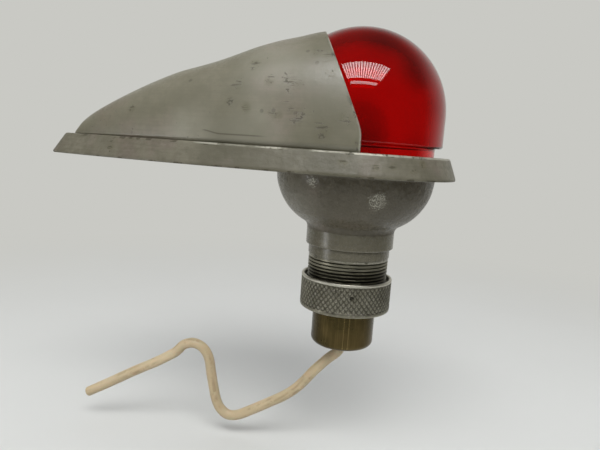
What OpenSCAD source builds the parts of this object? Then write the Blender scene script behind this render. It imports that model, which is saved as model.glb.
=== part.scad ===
// Aircraft navigation light: a red glass dome in a teardrop fairing, on a bevelled flange with a bowl
// and a threaded neck. A lampholder slides in from below and is held by a knurled union ring.
// The mounting face is z = 0, the axis of the bowl and the dome is x = y = 0, and +X is forward.

/* [Lens] */
// Outer radius of the glass dome
dome_r = 24.4; // [23:0.1:26]
// Thickness of the dome's glass
glass_wall = 3.8; // [3:0.1:4.4]
// Height of the straight wall under the curve of the dome
dome_straight = 8.6; // [5:0.1:13]
// Gap that shows between the flange and the foot of the dome
lens_gap = 2.45; // [1.5:0.05:4]
// How far the glass neck is set in from the dome
neck_inset = 2.1; // [1.6:0.1:2.6]
// How far the rim stands out from the glass neck
rim_out = 1; // [0.6:0.1:1.4]
// Thickness of the glass rim
rim_h = 2; // [1.4:0.1:2.2]
// Thickness of the rubber ring under the rim
gasket_t = 1; // [0.6:0.1:1.2]
// Thickness of the snap ring over the rim
snap_t = 0.8; // [0.6:0.1:1]
// Clearance round the glass rim in its seat
rim_clear = 0.3; // [0.2:0.05:0.5]
// Depth of the snap ring's groove
groove_in = 0.6; // [0.4:0.05:0.8]

/* [Flange] */
// Thickness of the flange
flange_t = 6.2; // [5.8:0.1:8]
// Height of the upright land at the foot of the bevel
flange_land = 0.6; // [0.3:0.1:1.2]
// Ledge between the fairing and the bevel, at the sides
side_ledge = 0.45; // [0.3:0.05:1.5]
// How far the bevel slopes out at the front and the sides
side_bevel = 2.1; // [1.5:0.1:3.5]
// Length from the bowl's axis to the tip of the tail
tail_len = 94.4; // [90:0.1:106]
// How far the bevel slopes out at the tail
tail_bevel = 3.9; // [3:0.1:6]
// Ledge between the fairing and the bevel, at the tail
tail_ledge = 2.75; // [1:0.05:4]
// Radius of the tail's tip at the mounting face
tail_r = 6; // [4.5:0.1:8]
// Radius of the long side curves at the mounting face
flank_r = 230; // [190:1:400]
// Height of the lens seat above the mounting face
seat_floor = 1; // [0.8:0.1:1.3]
// How far the glass rim reaches over the ledge of its seat
seat_hold = 2.1; // [1.6:0.1:2.4]

/* [Mounting holes] */
// Radius of each tapped hole
hole_r = 1.25; // [0.8:0.05:1.35]
// Depth of each tapped hole
hole_depth = 3.2; // [2.5:0.1:3.4]
// Number of tapped holes in the circle round the bowl
hole_count = 4; // [3:1:8]
// Distance of the two tapped holes in the tail behind the axis
tail_hole_x = 60; // [50:0.5:64]
// Distance of each tapped hole in the tail from the middle line
tail_hole_y = 6; // [4:0.5:9]

/* [Bowl and neck] */
// Radius of the bowl at the mounting face
bowl_r = 23.2; // [22.6:0.1:24]
// Radius of the bowl's rounded side
bowl_arc = 16.4; // [15.6:0.1:17]
// Thickness of the bowl's wall
bowl_wall = 2; // [1.5:0.1:2.4]
// Radius of the fillet between bowl and neck
neck_fillet = 2.5; // [1.5:0.1:3.5]
// Depth of the neck's end below the mounting face
neck_depth = 21.45; // [20.5:0.05:24]
// Step from the neck down to the sleeve's collar
neck_step = 0.9; // [0.6:0.1:1.6]
// Depth of the floor inside the bowl
bowl_floor = 13; // [12.4:0.1:13.6]

/* [Threaded sleeve] */
// Outer radius of the thread
thread_r = 12; // [11.7:0.1:12.6]
// Pitch of the thread
pitch = 1; // [0.8:0.05:1.25]
// Depth of the thread
thread_h = 0.58; // [0.45:0.01:0.62]
// Height of the plain collar over the thread
collar_h = 2.75; // [2:0.05:5]
// How far the collar stands out past the thread
collar_out = 0.2; // [0.1:0.05:0.5]
// Length of the thread
thread_len = 11.8; // [10:0.1:14]
// Radius of the sleeve's bore
sleeve_bore = 9.75; // [9.7:0.05:10]
// Wall of the sleeve's spigot inside the neck
spigot_wall = 1.25; // [1:0.05:1.4]
// Length of the spigot inside the neck
spigot_len = 6.95; // [5:0.05:8]

/* [Fairing] */
// Gap between the dome and the fairing
lens_clear = 0.25; // [0.2:0.05:0.5]
// Thickness of the fairing's wall
fairing_wall = 1.6; // [1.3:0.1:2.2]
// Distance of the front edge behind the axis, on the ridge
cut_back = 12; // [9:0.1:15]
// Slope of the front edge from upright
cut_angle = 24; // [18:1:30]
// Height at which the front edge turns upright, above the flange
cut_kink = 5.3; // [3:0.1:8]
// Squareness of the cross-section, where 2 is an ellipse
squareness = 2.5; // [2.4:0.05:3]
// Distance of the side screws behind the axis
side_screw_x = 40; // [37:0.5:46]
// Distance of the tail screw behind the axis
tail_screw_x = 74; // [68:0.5:77]
// Radius of the screw columns
column_r = 3; // [2.6:0.1:3.4]
// Radius of the fairing screws
screw_r = 1.5; // [1.2:0.05:1.7]
// Length of the fairing screws
screw_len = 10; // [9:0.1:11]
// Depth of the screw heads below the mounting face
head_in = 0.1; // [0.05:0.05:0.3]
// Clearance round the fairing screws in the flange
screw_clear = 0.1; // [0.05:0.05:0.3]

/* [Union ring] */
// Wall of the ring outside the thread
ring_wall = 1.72; // [1.5:0.02:2.4]
// Height of the ring
ring_h = 9.8; // [9:0.1:12]
// Thickness of the lip that carries the lampholder
lip_t = 1.8; // [1.4:0.1:2.2]
// Rounding of the ring's lower edge
ring_round = 1.2; // [0.6:0.1:1.5]
// Depth of the plain mouth over the ring's thread
mouth_depth = 1.2; // [0.8:0.1:2]
// Clearance between the ring's thread and the sleeve's
thread_clear = 0.13; // [0.1:0.01:0.18]

/* [Lampholder] */
// Outer radius of the brass cap
cap_r = 9.5; // [9.3:0.05:9.6]
// Length of the brass cap
cap_len = 14; // [12:0.1:18]
// Thickness of the brass cap
cap_wall = 0.8; // [0.6:0.05:0.9]
// Rounding of the brass cap's lower edge
cap_round = 1.8; // [1:0.1:2.4]
// Clearance between the brass cap and what goes round it
cap_clear = 0.2; // [0.1:0.01:0.4]
// Outer radius of the bayonet tube
shell_r = 8.5; // [8.35:0.05:8.6]
// Length of the bayonet tube over its flange
shell_len = 34; // [32:0.1:36]
// Thickness of the tube's flange
shell_flange = 1.2; // [0.8:0.1:1.6]
// Length of the tube's skirt inside the brass cap
skirt_len = 5; // [3:0.1:7]
// Thickness of the rubber washer over the flange
seal_t = 1; // [0.6:0.1:1.5]
// Thickness of the brass washer under the flange
thrust_t = 0.5; // [0.3:0.05:0.8]
// Height of the insulator block
block_h = 16; // [14:0.1:16.6]
// Depth of the insulator block's top below the flange's top
block_drop = -7; // [-9:0.1:-5]

/* [Bulb] */
// Radius of the bulb's brass cap
bulb_cap_r = 7.5; // [7.4:0.02:7.55]
// Height of the bulb's brass cap
bulb_cap_h = 15; // [14:0.1:16]
// Radius of the glass globe
globe_r = 9; // [8.6:0.1:9.4]
// Height of the globe's centre over the pins
globe_up = 19.5; // [18:0.1:21]
// Thickness of the bulb's glass
bulb_wall = 0.6; // [0.4:0.05:0.8]
// Depth of the pins below the tube's rim
pin_drop = 4; // [3:0.1:5]
// Radius of the bayonet pins
pin_r = 1; // [0.8:0.05:1.1]
// How far the bulb can be pushed down
bulb_push = 2; // [1:0.1:2.5]
// Angle from the bayonet's hook to its way in
slot_turn = 35; // [28:1:50]
// Depth of the bulb's contact below the pins
base_drop = 7.5; // [6.5:0.1:8.5]
// Height of the bulb's fused base
base_h = 1.8; // [1.4:0.1:2.2]
// Depth of the glass inside the bulb's brass cap, over the base
glass_in = 4; // [3:0.1:5]
// Height of the glass stem that carries the filament
stem_h = 9; // [7:0.1:11]

/* [Contact and terminal] */
// Thickness of the sprung disc
disc_t = 2; // [1.4:0.1:2.4]
// Radius of the contact rivet's shank
rivet_r = 1; // [0.8:0.05:1.05]
// Radius of the contact rivet's head
rivet_head = 2.4; // [1.8:0.1:3]
// Thickness of the contact rivet's head
rivet_t = 0.8; // [0.5:0.05:1]
// Depth of the rivet's shank in the terminal tube
rivet_in = 4; // [3:0.1:5]
// Middle radius of the contact spring
spring_r = 5; // [4:0.1:6]
// Radius of the contact spring's wire
spring_wire = 0.4; // [0.3:0.05:0.5]
// Outer radius of the terminal tube
tube_r = 2; // [1.6:0.05:2.4]
// Depth of the copper core in the terminal tube
core_in = 6; // [4:0.1:8]
// Radius of the terminal screw
grub_r = 0.8; // [0.5:0.05:1]
// Height of the terminal screw over the insulator block's foot
grub_z = 4; // [3:0.1:5]

/* [Cable] */
// Diameter of the cable
cable_d = 3.2; // [2.6:0.1:3.6]
// Diameter of the copper core
core_d = 1.5; // [1:0.1:1.8]

/* [Hidden] */
$fn = 64;
eps = 0.01;
// Where the fairing's outline starts, ahead of the very tip of its tail
tail_tip = 0.15;
fit = 0.02;

// Lens seat, from the mounting face up
glass_neck_r = dome_r - neck_inset;
rim_r = glass_neck_r + rim_out;
seat_r = rim_r + rim_clear;
groove_r = seat_r + groove_in;
rim_z = seat_floor + gasket_t;
snap_z = rim_z + rim_h;
foot_z = flange_t + lens_gap;
dome_z = foot_z + dome_straight;
glass_r = dome_r - glass_wall;
// Opening through the ledge that carries the glass, between the bowl's wall and where the rim must be held
mouth_r = (bowl_r - bowl_wall + rim_r - seat_hold) / 2;

// Plan outlines of the flange and the fairing
fairing_r = dome_r + lens_clear + fairing_wall;
top_r = fairing_r + side_ledge;
foot_r = top_r + side_bevel;
top_tail = tail_len - tail_bevel;
fairing_tail = top_tail - tail_ledge;
// Circle of tapped holes, in the solid land between the snap ring's groove and the bevel
hole_circle_r = (groove_r + foot_r - groove_in) / 2;

// Sleeve and lampholder, from the mounting face down
sleeve_z = -neck_depth;
thread_z = sleeve_z - collar_h;
end_z = thread_z - thread_len;
collar_r = thread_r + collar_out;
neck_r = collar_r + neck_step;
spigot_r = sleeve_bore + spigot_wall;
root_r = thread_r - thread_h;
holder_z = end_z - seal_t;
under_z = holder_z - shell_flange;
lip_z = under_z - thrust_t;
ring_z = lip_z - lip_t;
ring_top = ring_z + ring_h;
ring_r = thread_r + ring_wall;
ring_bore = thread_r + thread_clear;
flange_r = root_r - 0.3;
cap_z = under_z - cap_len;
shell_top = holder_z + shell_len;
shell_in = bulb_cap_r + 0.2;

// Bulb, from its pins
pin_z = shell_top - pin_drop;
base_z = pin_z - base_drop;
bulb_cap_z = base_z + base_h;
globe_z = pin_z + globe_up;
globe_foot_r = bulb_cap_r - 0.7;
glass_z = bulb_cap_z + glass_in;
wire_z = glass_z + bulb_wall + stem_h;
wire_lean = 16;
block_z = holder_z - block_drop;
block_foot = block_z - block_h;

// Front edge of the fairing
corner_z = dome_z + sqrt(pow(fairing_r, 2) - pow(cut_back, 2));
kink_z = flange_t + cut_kink;
kink_x = -cut_back + (corner_z - kink_z) * tan(cut_angle);

// Ridge of the fairing, as shares of its length and height from the tail to the front edge
ridge = [[0, 0], [0.015, 0.044], [0.04, 0.113], [0.08, 0.183], [0.15, 0.275], [0.25, 0.389],
         [0.36, 0.502], [0.46, 0.591], [0.54, 0.643], [0.61, 0.691], [0.68, 0.748], [0.76, 0.817],
         [0.84, 0.872], [0.92, 0.914], [1, 0.958], [1.15, 0.993], [1.3, 1.008]];

// Route of the cable below the brass cap, as its distance forward and down from the exit
route = [[0, 0], [0, -1.6], [-1, -3.6], [-3.6, -6], [-7.6, -10.4], [-12, -16], [-16.2, -19.7],
         [-21, -22.7], [-27, -26.2], [-31.4, -28.5], [-34.6, -28.8], [-37.2, -27], [-38.8, -24],
         [-39.8, -20], [-40.8, -15.5], [-41.8, -10.5], [-43.8, -7.2], [-47, -5.8], [-50.4, -6.7],
         [-54, -9], [-59.5, -12.5], [-67, -17], [-75, -22], [-82.6, -26.7]];

// Centre of the long side curve that touches the front circle a and the tail circle b inside
function flank_x(a, tip, b, r) = (pow(r - b, 2) - pow(r - a, 2) - pow(tip - b, 2)) / (2 * (tip - b));
function flank_y(a, tip, b, r) = sqrt(pow(r - a, 2) - pow(flank_x(a, tip, b, r), 2));

// Half width of a teardrop outline at x
function half_width(x, a, tip, b, r) =
    let (cx = flank_x(a, tip, b, r), cy = flank_y(a, tip, b, r))
    let (x1 = -a * cx / (r - a), x2 = -(tip - b) - b * (cx + tip - b) / (r - b))
    x > x1 ? sqrt(max(0, a * a - x * x))
    : x > x2 ? sqrt(r * r - pow(x - cx, 2)) - cy
    : sqrt(max(0, b * b - pow(x + tip - b, 2)));

// Points of a teardrop: front arc, long side and tail arc, mirrored to the other side
function teardrop(a, tip, b, r) =
    let (cx = flank_x(a, tip, b, r), cy = flank_y(a, tip, b, r))
    let (front = atan2(cy, -cx), rear = atan2(cy, -(cx + tip - b)))
    let (half = concat(
        [for (i = [0:12]) let (t = front * i / 12) [a * cos(t), a * sin(t)]],
        [for (i = [1:9]) let (t = front + (rear - front) * i / 10) [cx + r * cos(t), r * sin(t) - cy]],
        [for (i = [0:7]) let (t = rear + (180 - rear) * i / 8) [b - tip + b * cos(t), b * sin(t)]]))
    concat(half, [[-tip, 0]], [for (i = [len(half) - 1:-1:1]) [half[i][0], -half[i][1]]]);

// Smooth curve through a list of [u, v] knots
function knot_slope(k, i) =
    i == 0 ? (k[1][1] - k[0][1]) / (k[1][0] - k[0][0])
    : i == len(k) - 1 ? (k[i][1] - k[i - 1][1]) / (k[i][0] - k[i - 1][0])
    : (k[i + 1][1] - k[i - 1][1]) / (k[i + 1][0] - k[i - 1][0]);
function hermite(k, i, u) =
    let (d = k[i + 1][0] - k[i][0], t = (u - k[i][0]) / d)
    (2 * pow(t, 3) - 3 * t * t + 1) * k[i][1] + (pow(t, 3) - 2 * t * t + t) * d * knot_slope(k, i)
    + (3 * t * t - 2 * pow(t, 3)) * k[i + 1][1] + (pow(t, 3) - t * t) * d * knot_slope(k, i + 1);
function curve(k, u, i = 0) = i == len(k) - 2 || u <= k[i + 1][0] ? hermite(k, i, u) : curve(k, u, i + 1);

// Faces of a tube of n rings of m points, closed at both ends
function tube_faces(n, m) = concat(
    [[for (j = [m - 1:-1:0]) j]],
    [for (i = [0:n - 2], j = [0:m - 1]) [i * m + j, i * m + (j + 1) % m, (i + 1) * m + j]],
    [for (i = [0:n - 2], j = [0:m - 1])
        [(i + 1) * m + j, i * m + (j + 1) % m, (i + 1) * m + (j + 1) % m]],
    [[for (j = [0:m - 1]) (n - 1) * m + j]]);

// A ridge wound right-handed round the axis; section is its outline as [radius, height]
module winding(section, lead, turns, steps) {
    n = ceil(turns * steps);
    points = [for (i = [0:n], p = section)
        let (a = 360 * i / steps) [p[0] * cos(a), p[0] * sin(a), p[1] + lead * i / steps]];
    polyhedron(points, tube_faces(n + 1, len(section)));
}

// One point of the cable's smooth route between route points i and i + 1
function route_at(i, t) =
    let (p0 = route[max(i - 1, 0)], p1 = route[i], p2 = route[i + 1], p3 = route[min(i + 2, len(route) - 1)])
    0.5 * (2 * p1 + (p2 - p0) * t + (2 * p0 - 5 * p1 + 4 * p2 - p3) * t * t
        + (3 * p1 - p0 - 3 * p2 + p3) * pow(t, 3));

// Ring with a square section
module ring(r_in, r_out, z0, z1) {
    difference() {
        translate([0, 0, z0]) cylinder(r = r_out, h = z1 - z0);
        translate([0, 0, z0 - 1]) cylinder(r = r_in, h = z1 - z0 + 2);
    }
}

// Places its children at the three fairing screws
module at_fairing_screws() {
    y = half_width(-side_screw_x, fairing_r, fairing_tail, tail_r / 2, flank_r) - column_r - fairing_wall / 2;
    for (p = [[-side_screw_x, y], [-side_screw_x, -y], [-tail_screw_x, 0]])
        translate([p[0], p[1], 0]) children();
}

// Places its children at the mounting holes
module at_mounting_holes() {
    for (i = [0:hole_count - 1]) rotate([0, 0, (i + 0.5) * 360 / hole_count])
        translate([hole_circle_r, 0, 0]) children();
    for (side = [-1, 1]) translate([-tail_hole_x, side * tail_hole_y, 0]) children();
}

// Flange with its upright land and its bevel
module flange_slab() {
    foot = teardrop(foot_r, tail_len, tail_r, flank_r);
    top = teardrop(top_r, top_tail, tail_r * 0.7, flank_r);
    linear_extrude(flange_land) polygon(foot);
    hull() {
        translate([0, 0, flange_land - eps]) linear_extrude(eps) polygon(foot);
        translate([0, 0, flange_t - eps]) linear_extrude(eps) polygon(top);
    }
}

// Outside of the bowl and the neck
module bowl_outside() {
    arc_x = bowl_r - bowl_arc;
    fillet_x = neck_r + neck_fillet;
    fillet_z = -sqrt(pow(bowl_arc + neck_fillet, 2) - pow(fillet_x - arc_x, 2));
    turn = atan2(-fillet_z, fillet_x - arc_x);
    rotate_extrude() polygon(concat(
        [[0, 1], [bowl_r, 1]],
        [for (i = [0:16]) let (t = turn * i / 16) [arc_x + bowl_arc * cos(t), -bowl_arc * sin(t)]],
        [for (i = [1:6]) let (t = turn * (1 - i / 6))
            [fillet_x - neck_fillet * cos(t), fillet_z + neck_fillet * sin(t)]],
        [[neck_r, -neck_depth], [0, -neck_depth]]));
}

// Hollow of the bowl down to its floor
module bowl_inside() {
    arc_x = bowl_r - bowl_arc;
    r = bowl_arc - bowl_wall;
    turn = asin(bowl_floor / r);
    rotate_extrude() polygon(concat(
        [[0, 2 * seat_floor], [mouth_r, 2 * seat_floor], [mouth_r, 0]],
        [for (i = [1:16]) let (t = turn * i / 16) [arc_x + r * cos(t), -r * sin(t)]],
        [[0, -bowl_floor]]));
}

module base_casting() {
    color("#7d7e74") difference() {
        union() {
            flange_slab();
            bowl_outside();
        }
        bowl_inside();
        translate([0, 0, seat_floor]) cylinder(r = seat_r, h = flange_t);
        translate([0, 0, snap_z - 0.05]) cylinder(r = groove_r, h = snap_t + 0.1);
        translate([0, 0, -neck_depth - 1]) cylinder(r = spigot_r, h = neck_depth);
        at_mounting_holes() translate([0, 0, -1]) cylinder(r = hole_r, h = hole_depth + 1);
        at_fairing_screws() {
            translate([0, 0, -1]) cylinder(r = screw_r + screw_clear, h = flange_t + 2);
            translate([0, 0, -eps]) cylinder(
                r1 = 2 * screw_r + head_in + screw_clear, r2 = screw_r + screw_clear, h = screw_r + head_in);
        }
    }
}

// Cross-section of the fairing at x, set in by inset, as points from one foot over the ridge
function fairing_section(x, inset) =
    let (length = fairing_tail - cut_back, tail = fairing_tail - inset)
    let (w = half_width(x, fairing_r - inset, tail, max(tail_r / 2 - inset, 1), flank_r - inset))
    let (u = (x + tail) / (length - inset), e = 2 / squareness)
    let (h = (corner_z - inset - flange_t) * curve(ridge, u))
    [for (j = [0:20]) let (a = 180 - 9 * j, c = cos(a), s = sin(a))
        [x, w * (c < 0 ? -1 : 1) * pow(abs(c), e), flange_t + h * pow(s, e)]];

// Solid under the fairing's surface, set in by inset and down by drop, from the tail to past the front edge
module fairing_solid(inset, drop) {
    tip = tail_tip - fairing_tail + inset;
    front = kink_x + cut_back / 3;
    n = 30;
    sections = [for (i = [0:n]) fairing_section(tip + (front - tip) * pow(i / n, 1.5), inset)];
    feet = [for (s = sections) drop > 0 ? [for (p = [s[20], s[0]]) [p[0], p[1], flange_t - drop]] : []];
    polyhedron([for (i = [0:n]) each concat(sections[i], feet[i])], tube_faces(n + 1, 21 + len(feet[0])));
}

// Everything ahead of the fairing's front edge
module front_cut() {
    over = fairing_r;
    rotate([90, 0, 0]) translate([0, 0, -2 * over]) linear_extrude(4 * over) polygon([
        [kink_x, 0], [kink_x, kink_z], [-cut_back, corner_z],
        [-cut_back - over * tan(cut_angle), corner_z + over], [3 * over, corner_z + over], [3 * over, 0]]);
}

// Dome of the lens grown by clear, down past the flange's top
module dome_room(clear) {
    translate([0, 0, dome_z]) sphere(r = dome_r + clear);
    translate([0, 0, flange_t - 1]) cylinder(r = dome_r + clear, h = dome_z - flange_t + 1);
}

module fairing() {
    color("#84857b") difference() {
        fairing_solid(0, 0);
        difference() {
            fairing_solid(fairing_wall, 1);
            at_fairing_screws() cylinder(r = column_r, h = corner_z);
        }
        front_cut();
        dome_room(lens_clear);
        at_fairing_screws() cylinder(r = screw_r + fit, h = screw_len + 0.5);
    }
}

module fairing_screws() {
    color("#9a9a98") at_fairing_screws() difference() {
        union() {
            translate([0, 0, head_in]) cylinder(r = screw_r, h = screw_len);
            translate([0, 0, head_in]) cylinder(r1 = 2 * screw_r, r2 = screw_r, h = screw_r);
        }
        cube([4 * screw_r + 1, 0.6, 1.4], center = true);
    }
}

module lens() {
    inside = concat([[glass_r, rim_z]], [for (i = [0:16]) let (t = 90 * i / 16)
        [glass_r * cos(t), dome_z + glass_r * sin(t)]]);
    outside = concat(
        [[rim_r, rim_z], [rim_r, snap_z], [glass_neck_r, snap_z], [glass_neck_r, foot_z],
         [dome_r - 0.5, foot_z], [dome_r - 0.15, foot_z + 0.15], [dome_r, foot_z + 0.5]],
        [for (i = [0:16]) let (t = 90 * i / 16) [dome_r * cos(t), dome_z + dome_r * sin(t)]]);
    color([0.6, 0.02, 0.03, 0.8]) rotate_extrude(convexity = 4)
        polygon(concat(outside, [for (i = [len(inside) - 1:-1:0]) inside[i]]));
}

module lens_gasket() {
    color("#222222") ring(mouth_r + 0.1, rim_r, seat_floor, rim_z);
}

module lens_snap_ring() {
    color("#8f8f8c") difference() {
        ring(glass_neck_r + 0.15, groove_r - 0.15, snap_z, snap_z + snap_t);
        translate([-groove_r - 1, 0, snap_z]) cube([8, 5, 4 * snap_t], center = true);
    }
}

module threaded_sleeve() {
    crest = 0.08 * pitch;
    foot = 0.4 * pitch;
    color("#7d7e74") difference() {
        union() {
            translate([0, 0, sleeve_z]) cylinder(r = spigot_r - fit, h = spigot_len);
            translate([0, 0, thread_z]) cylinder(r = collar_r, h = collar_h);
            translate([0, 0, end_z]) cylinder(r = root_r, h = thread_len);
            translate([0, 0, end_z + foot]) winding([
                [root_r - 0.1, -foot], [thread_r, -crest], [thread_r, crest], [root_r - 0.1, foot]],
                pitch, thread_len / pitch, 32);
        }
        translate([0, 0, end_z - 1]) cylinder(r = sleeve_bore, h = thread_len + collar_h + spigot_len + 2);
    }
}

module union_ring() {
    crest = 0.07 * pitch;
    foot = 0.38 * pitch;
    start = lip_z + 0.8;
    turns = (ring_top - mouth_depth - start) / pitch - 1;
    // Height of a point on the sleeve's thread, brought down to where this thread starts
    phase = end_z + 0.4 * pitch + pitch / 2 - pitch * ceil((end_z - start) / pitch);
    color("#8b8b86") {
        difference() {
            rotate_extrude() polygon(concat(
                [[cap_r + cap_clear, ring_z]],
                [for (i = [0:6]) let (t = 90 - 15 * i)
                    [ring_r - ring_round * (1 - cos(t)), ring_z + ring_round * (1 - sin(t))]],
                [for (i = [0:3]) let (t = 30 * i)
                    [ring_r - 0.5 * (1 - cos(t)), ring_top - 0.5 * (1 - sin(t))]],
                [[cap_r + cap_clear, ring_top]]));
            translate([0, 0, lip_z]) cylinder(r = ring_bore, h = ring_h);
            translate([0, 0, ring_top - mouth_depth]) cylinder(r = thread_r + 0.75, h = ring_h);
        }
        translate([0, 0, phase]) winding([
            [ring_bore + 0.1, foot], [root_r + thread_clear, crest], [root_r + thread_clear, -crest],
            [ring_bore + 0.1, -foot]], pitch, turns, 32);
    }
}

module thrust_washer() {
    color("#a8935a") ring(cap_r + cap_clear, flange_r, lip_z, under_z);
}

module seal_washer() {
    color("#222222") ring(shell_r + 0.3, flange_r, holder_z, end_z);
}

// One bayonet slot: down from the rim, across, and up into the hook that holds the pin
module bayonet_slot() {
    w = pin_r + 0.2;
    low = pin_z - bulb_push;
    end = asin((w + 0.1) / shell_in);
    translate([shell_in - 1, -w, low]) cube([3, 2 * w, bulb_push + w]);
    rotate([0, 0, slot_turn]) translate([shell_in - 1, -w, low]) cube([3, 2 * w, shell_top + 1 - low]);
    translate([0, 0, low - w]) rotate([0, 0, -end]) rotate_extrude(angle = slot_turn + 2 * end)
        translate([shell_in - 1, 0]) square([3, 2 * w]);
}

module bayonet_tube() {
    color("#b39a55") difference() {
        union() {
            ring(shell_in, shell_r, holder_z, shell_top);
            ring(shell_in, flange_r, under_z, holder_z);
            ring(shell_in, cap_r - cap_wall - fit, under_z - skirt_len, under_z);
        }
        for (side = [90, 270]) rotate([0, 0, side]) bayonet_slot();
    }
}

module brass_cap() {
    inner = cap_r - cap_wall;
    bend = cap_round - cap_wall;
    color("#8a7338") rotate_extrude() polygon(concat(
        [[cable_d / 2 + 0.8, cap_z], [cap_r - cap_round, cap_z]],
        [for (i = [1:6]) let (t = 15 * i)
            [cap_r - cap_round + cap_round * sin(t), cap_z + cap_round - cap_round * cos(t)]],
        [[cap_r, under_z], [inner, under_z]],
        [for (i = [0:6]) let (t = 90 - 15 * i)
            [cap_r - cap_round + bend * sin(t), cap_z + cap_round - bend * cos(t)]],
        [[cable_d / 2 + 0.8, cap_z + cap_wall]]));
}

module insulator_block() {
    color("#4a2f1c") difference() {
        translate([0, 0, block_foot]) cylinder(r = shell_in - 0.1, h = block_h);
        translate([0, 0, block_foot - 1]) cylinder(r = tube_r + fit, h = block_h + 2);
        translate([0, 0, block_foot + grub_z]) rotate([90, 0, 0]) cylinder(r = 2 * grub_r, h = shell_in + 1);
    }
}

module terminal_tube() {
    color("#b39a55") difference() {
        translate([0, 0, block_foot]) cylinder(r = tube_r, h = block_h);
        translate([0, 0, block_foot + core_in]) cylinder(r = rivet_r + 0.1, h = block_h);
        translate([0, 0, block_foot - 1]) cylinder(r = core_d / 2 + fit, h = core_in + 1);
        translate([0, 0, block_foot + grub_z]) rotate([90, 0, 0]) cylinder(r = grub_r + fit, h = 2 * tube_r);
    }
}

module terminal_screw() {
    head_z = tube_r + 0.2;
    head_h = 2 * grub_r;
    color("#9a9a98") translate([0, 0, block_foot + grub_z]) rotate([90, 0, 0]) difference() {
        union() {
            translate([0, 0, core_d / 2 + fit]) cylinder(r = grub_r, h = head_z + head_h / 2 - core_d / 2);
            translate([0, 0, head_z]) cylinder(r = 1.75 * grub_r, h = head_h);
        }
        translate([0, 0, head_z + head_h]) cube([5 * grub_r, grub_r / 2, 1], center = true);
    }
}

module contact_spring() {
    low = block_z + spring_wire;
    high = base_z - rivet_t - disc_t - spring_wire;
    turns = 6;
    color("#9a9a98") translate([0, 0, low]) winding(
        [for (i = [0:5]) [spring_r + spring_wire * cos(60 * i), spring_wire * sin(60 * i)]],
        (high - low) / turns, turns, 12);
}

module cable_bush() {
    color("#222222") {
        ring(cable_d / 2, cable_d / 2 + 0.8, cap_z, cap_z + cap_wall);
        ring(cable_d / 2, cable_d / 2 + 1.6, cap_z + cap_wall, cap_z + cap_wall + 0.8);
    }
}

module cable_tail() {
    color("#cdb995") translate([0, 0, cap_z]) cylinder(d = cable_d, h = block_foot - cap_z, $fn = 32);
}

module cable_core() {
    color("#b87333") translate([0, 0, block_foot]) cylinder(d = core_d, h = core_in - 0.2, $fn = 32);
}

module cable() {
    n = len(route);
    steps = 3;
    line = concat([for (i = [0:n - 2], t = [0:steps - 1]) route_at(i, t / steps)], [route[n - 1]]);
    m = len(line);
    points = [for (i = [0:m - 1])
        let (d = i == 0 ? [0, -1] : line[min(i + 1, m - 1)] - line[i - 1])
        let (u = d / norm(d))
        each [for (j = [0:7]) let (a = 45 * j)
            [line[i][0] + cable_d / 2 * cos(a) * -u[1], cable_d / 2 * sin(a),
             cap_z + line[i][1] + cable_d / 2 * cos(a) * u[0]]]];
    color("#cdb995") polyhedron(points, tube_faces(m, 8));
}

module bulb_cap() {
    color("#b39a55") ring(bulb_cap_r - 0.35, bulb_cap_r, bulb_cap_z, bulb_cap_z + bulb_cap_h);
}

module bayonet_pins() {
    reach = shell_r - bulb_cap_r - 0.05;
    color("#b39a55") translate([0, 0, pin_z]) for (side = [-1, 1])
        rotate([90 * side, 0, 0]) translate([0, 0, bulb_cap_r]) cylinder(r = pin_r, h = reach);
}

module bulb_base() {
    color("#1c1c1c") rotate_extrude() polygon([
        [0, base_z + base_h / 3], [0.4 * bulb_cap_r, base_z + base_h / 3], [bulb_cap_r - 1.2, bulb_cap_z],
        [bulb_cap_r - 0.35, bulb_cap_z], [bulb_cap_r - 0.35, bulb_cap_z + 2], [0, bulb_cap_z + 2]]);
}

module bulb_contact() {
    color("#8f8f8c") translate([0, 0, base_z]) cylinder(r1 = 2, r2 = 2.6, h = base_h / 3);
}

// Glass of the bulb: a round globe drawn in to a neck inside the brass cap
module bulb_glass() {
    neck = bulb_cap_r - 0.35;
    top = bulb_cap_z + bulb_cap_h;
    rise = sqrt(pow(globe_r, 2) - pow(globe_foot_r, 2));
    turn = -asin(rise / globe_r);
    inner_r = globe_r - bulb_wall;
    bends = [for (i = [0:14]) turn + (90 - turn) * i / 14];
    outside = concat([[neck, glass_z], [neck, top - 2], [globe_foot_r, top + 1]],
        [for (t = bends) [globe_r * cos(t), globe_z + globe_r * sin(t)]]);
    inside = concat([[neck - bulb_wall, glass_z + bulb_wall], [neck - bulb_wall, top - 2]],
        [[globe_foot_r - bulb_wall, top + 1]],
        [for (t = bends) [inner_r * cos(t), globe_z + inner_r * sin(t)]]);
    color([0.9, 0.9, 0.88, 0.4]) rotate_extrude(convexity = 6) polygon(concat(
        [[0, glass_z]], outside, [for (i = [len(inside) - 1:-1:0]) inside[i]], [[0, glass_z + bulb_wall]]));
}

module bulb_stem() {
    waist = glass_z + bulb_wall + stem_h * 2 / 3;
    color([0.85, 0.85, 0.82]) {
        translate([0, 0, glass_z + bulb_wall]) cylinder(r1 = 3, r2 = 1.6, h = waist - glass_z - bulb_wall);
        translate([0, 0, waist]) cylinder(r = 1.6, h = wire_z - waist);
    }
}

module support_wires() {
    color("#8f8f8c") for (side = [-1, 1]) translate([0, side, wire_z])
        rotate([-side * wire_lean, 0, 0]) cylinder(r = 0.22, h = (globe_z - wire_z) / cos(wire_lean));
}

module filament() {
    half = 1 + (globe_z - wire_z) * tan(wire_lean);
    color("#6f6f6f") translate([0, -half, globe_z + 0.5]) rotate([-90, 0, 0])
        winding([for (i = [0:4]) [0.5 + 0.09 * cos(72 * i), 0.09 * sin(72 * i)]], 0.5, 4 * half, 8);
}

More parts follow.
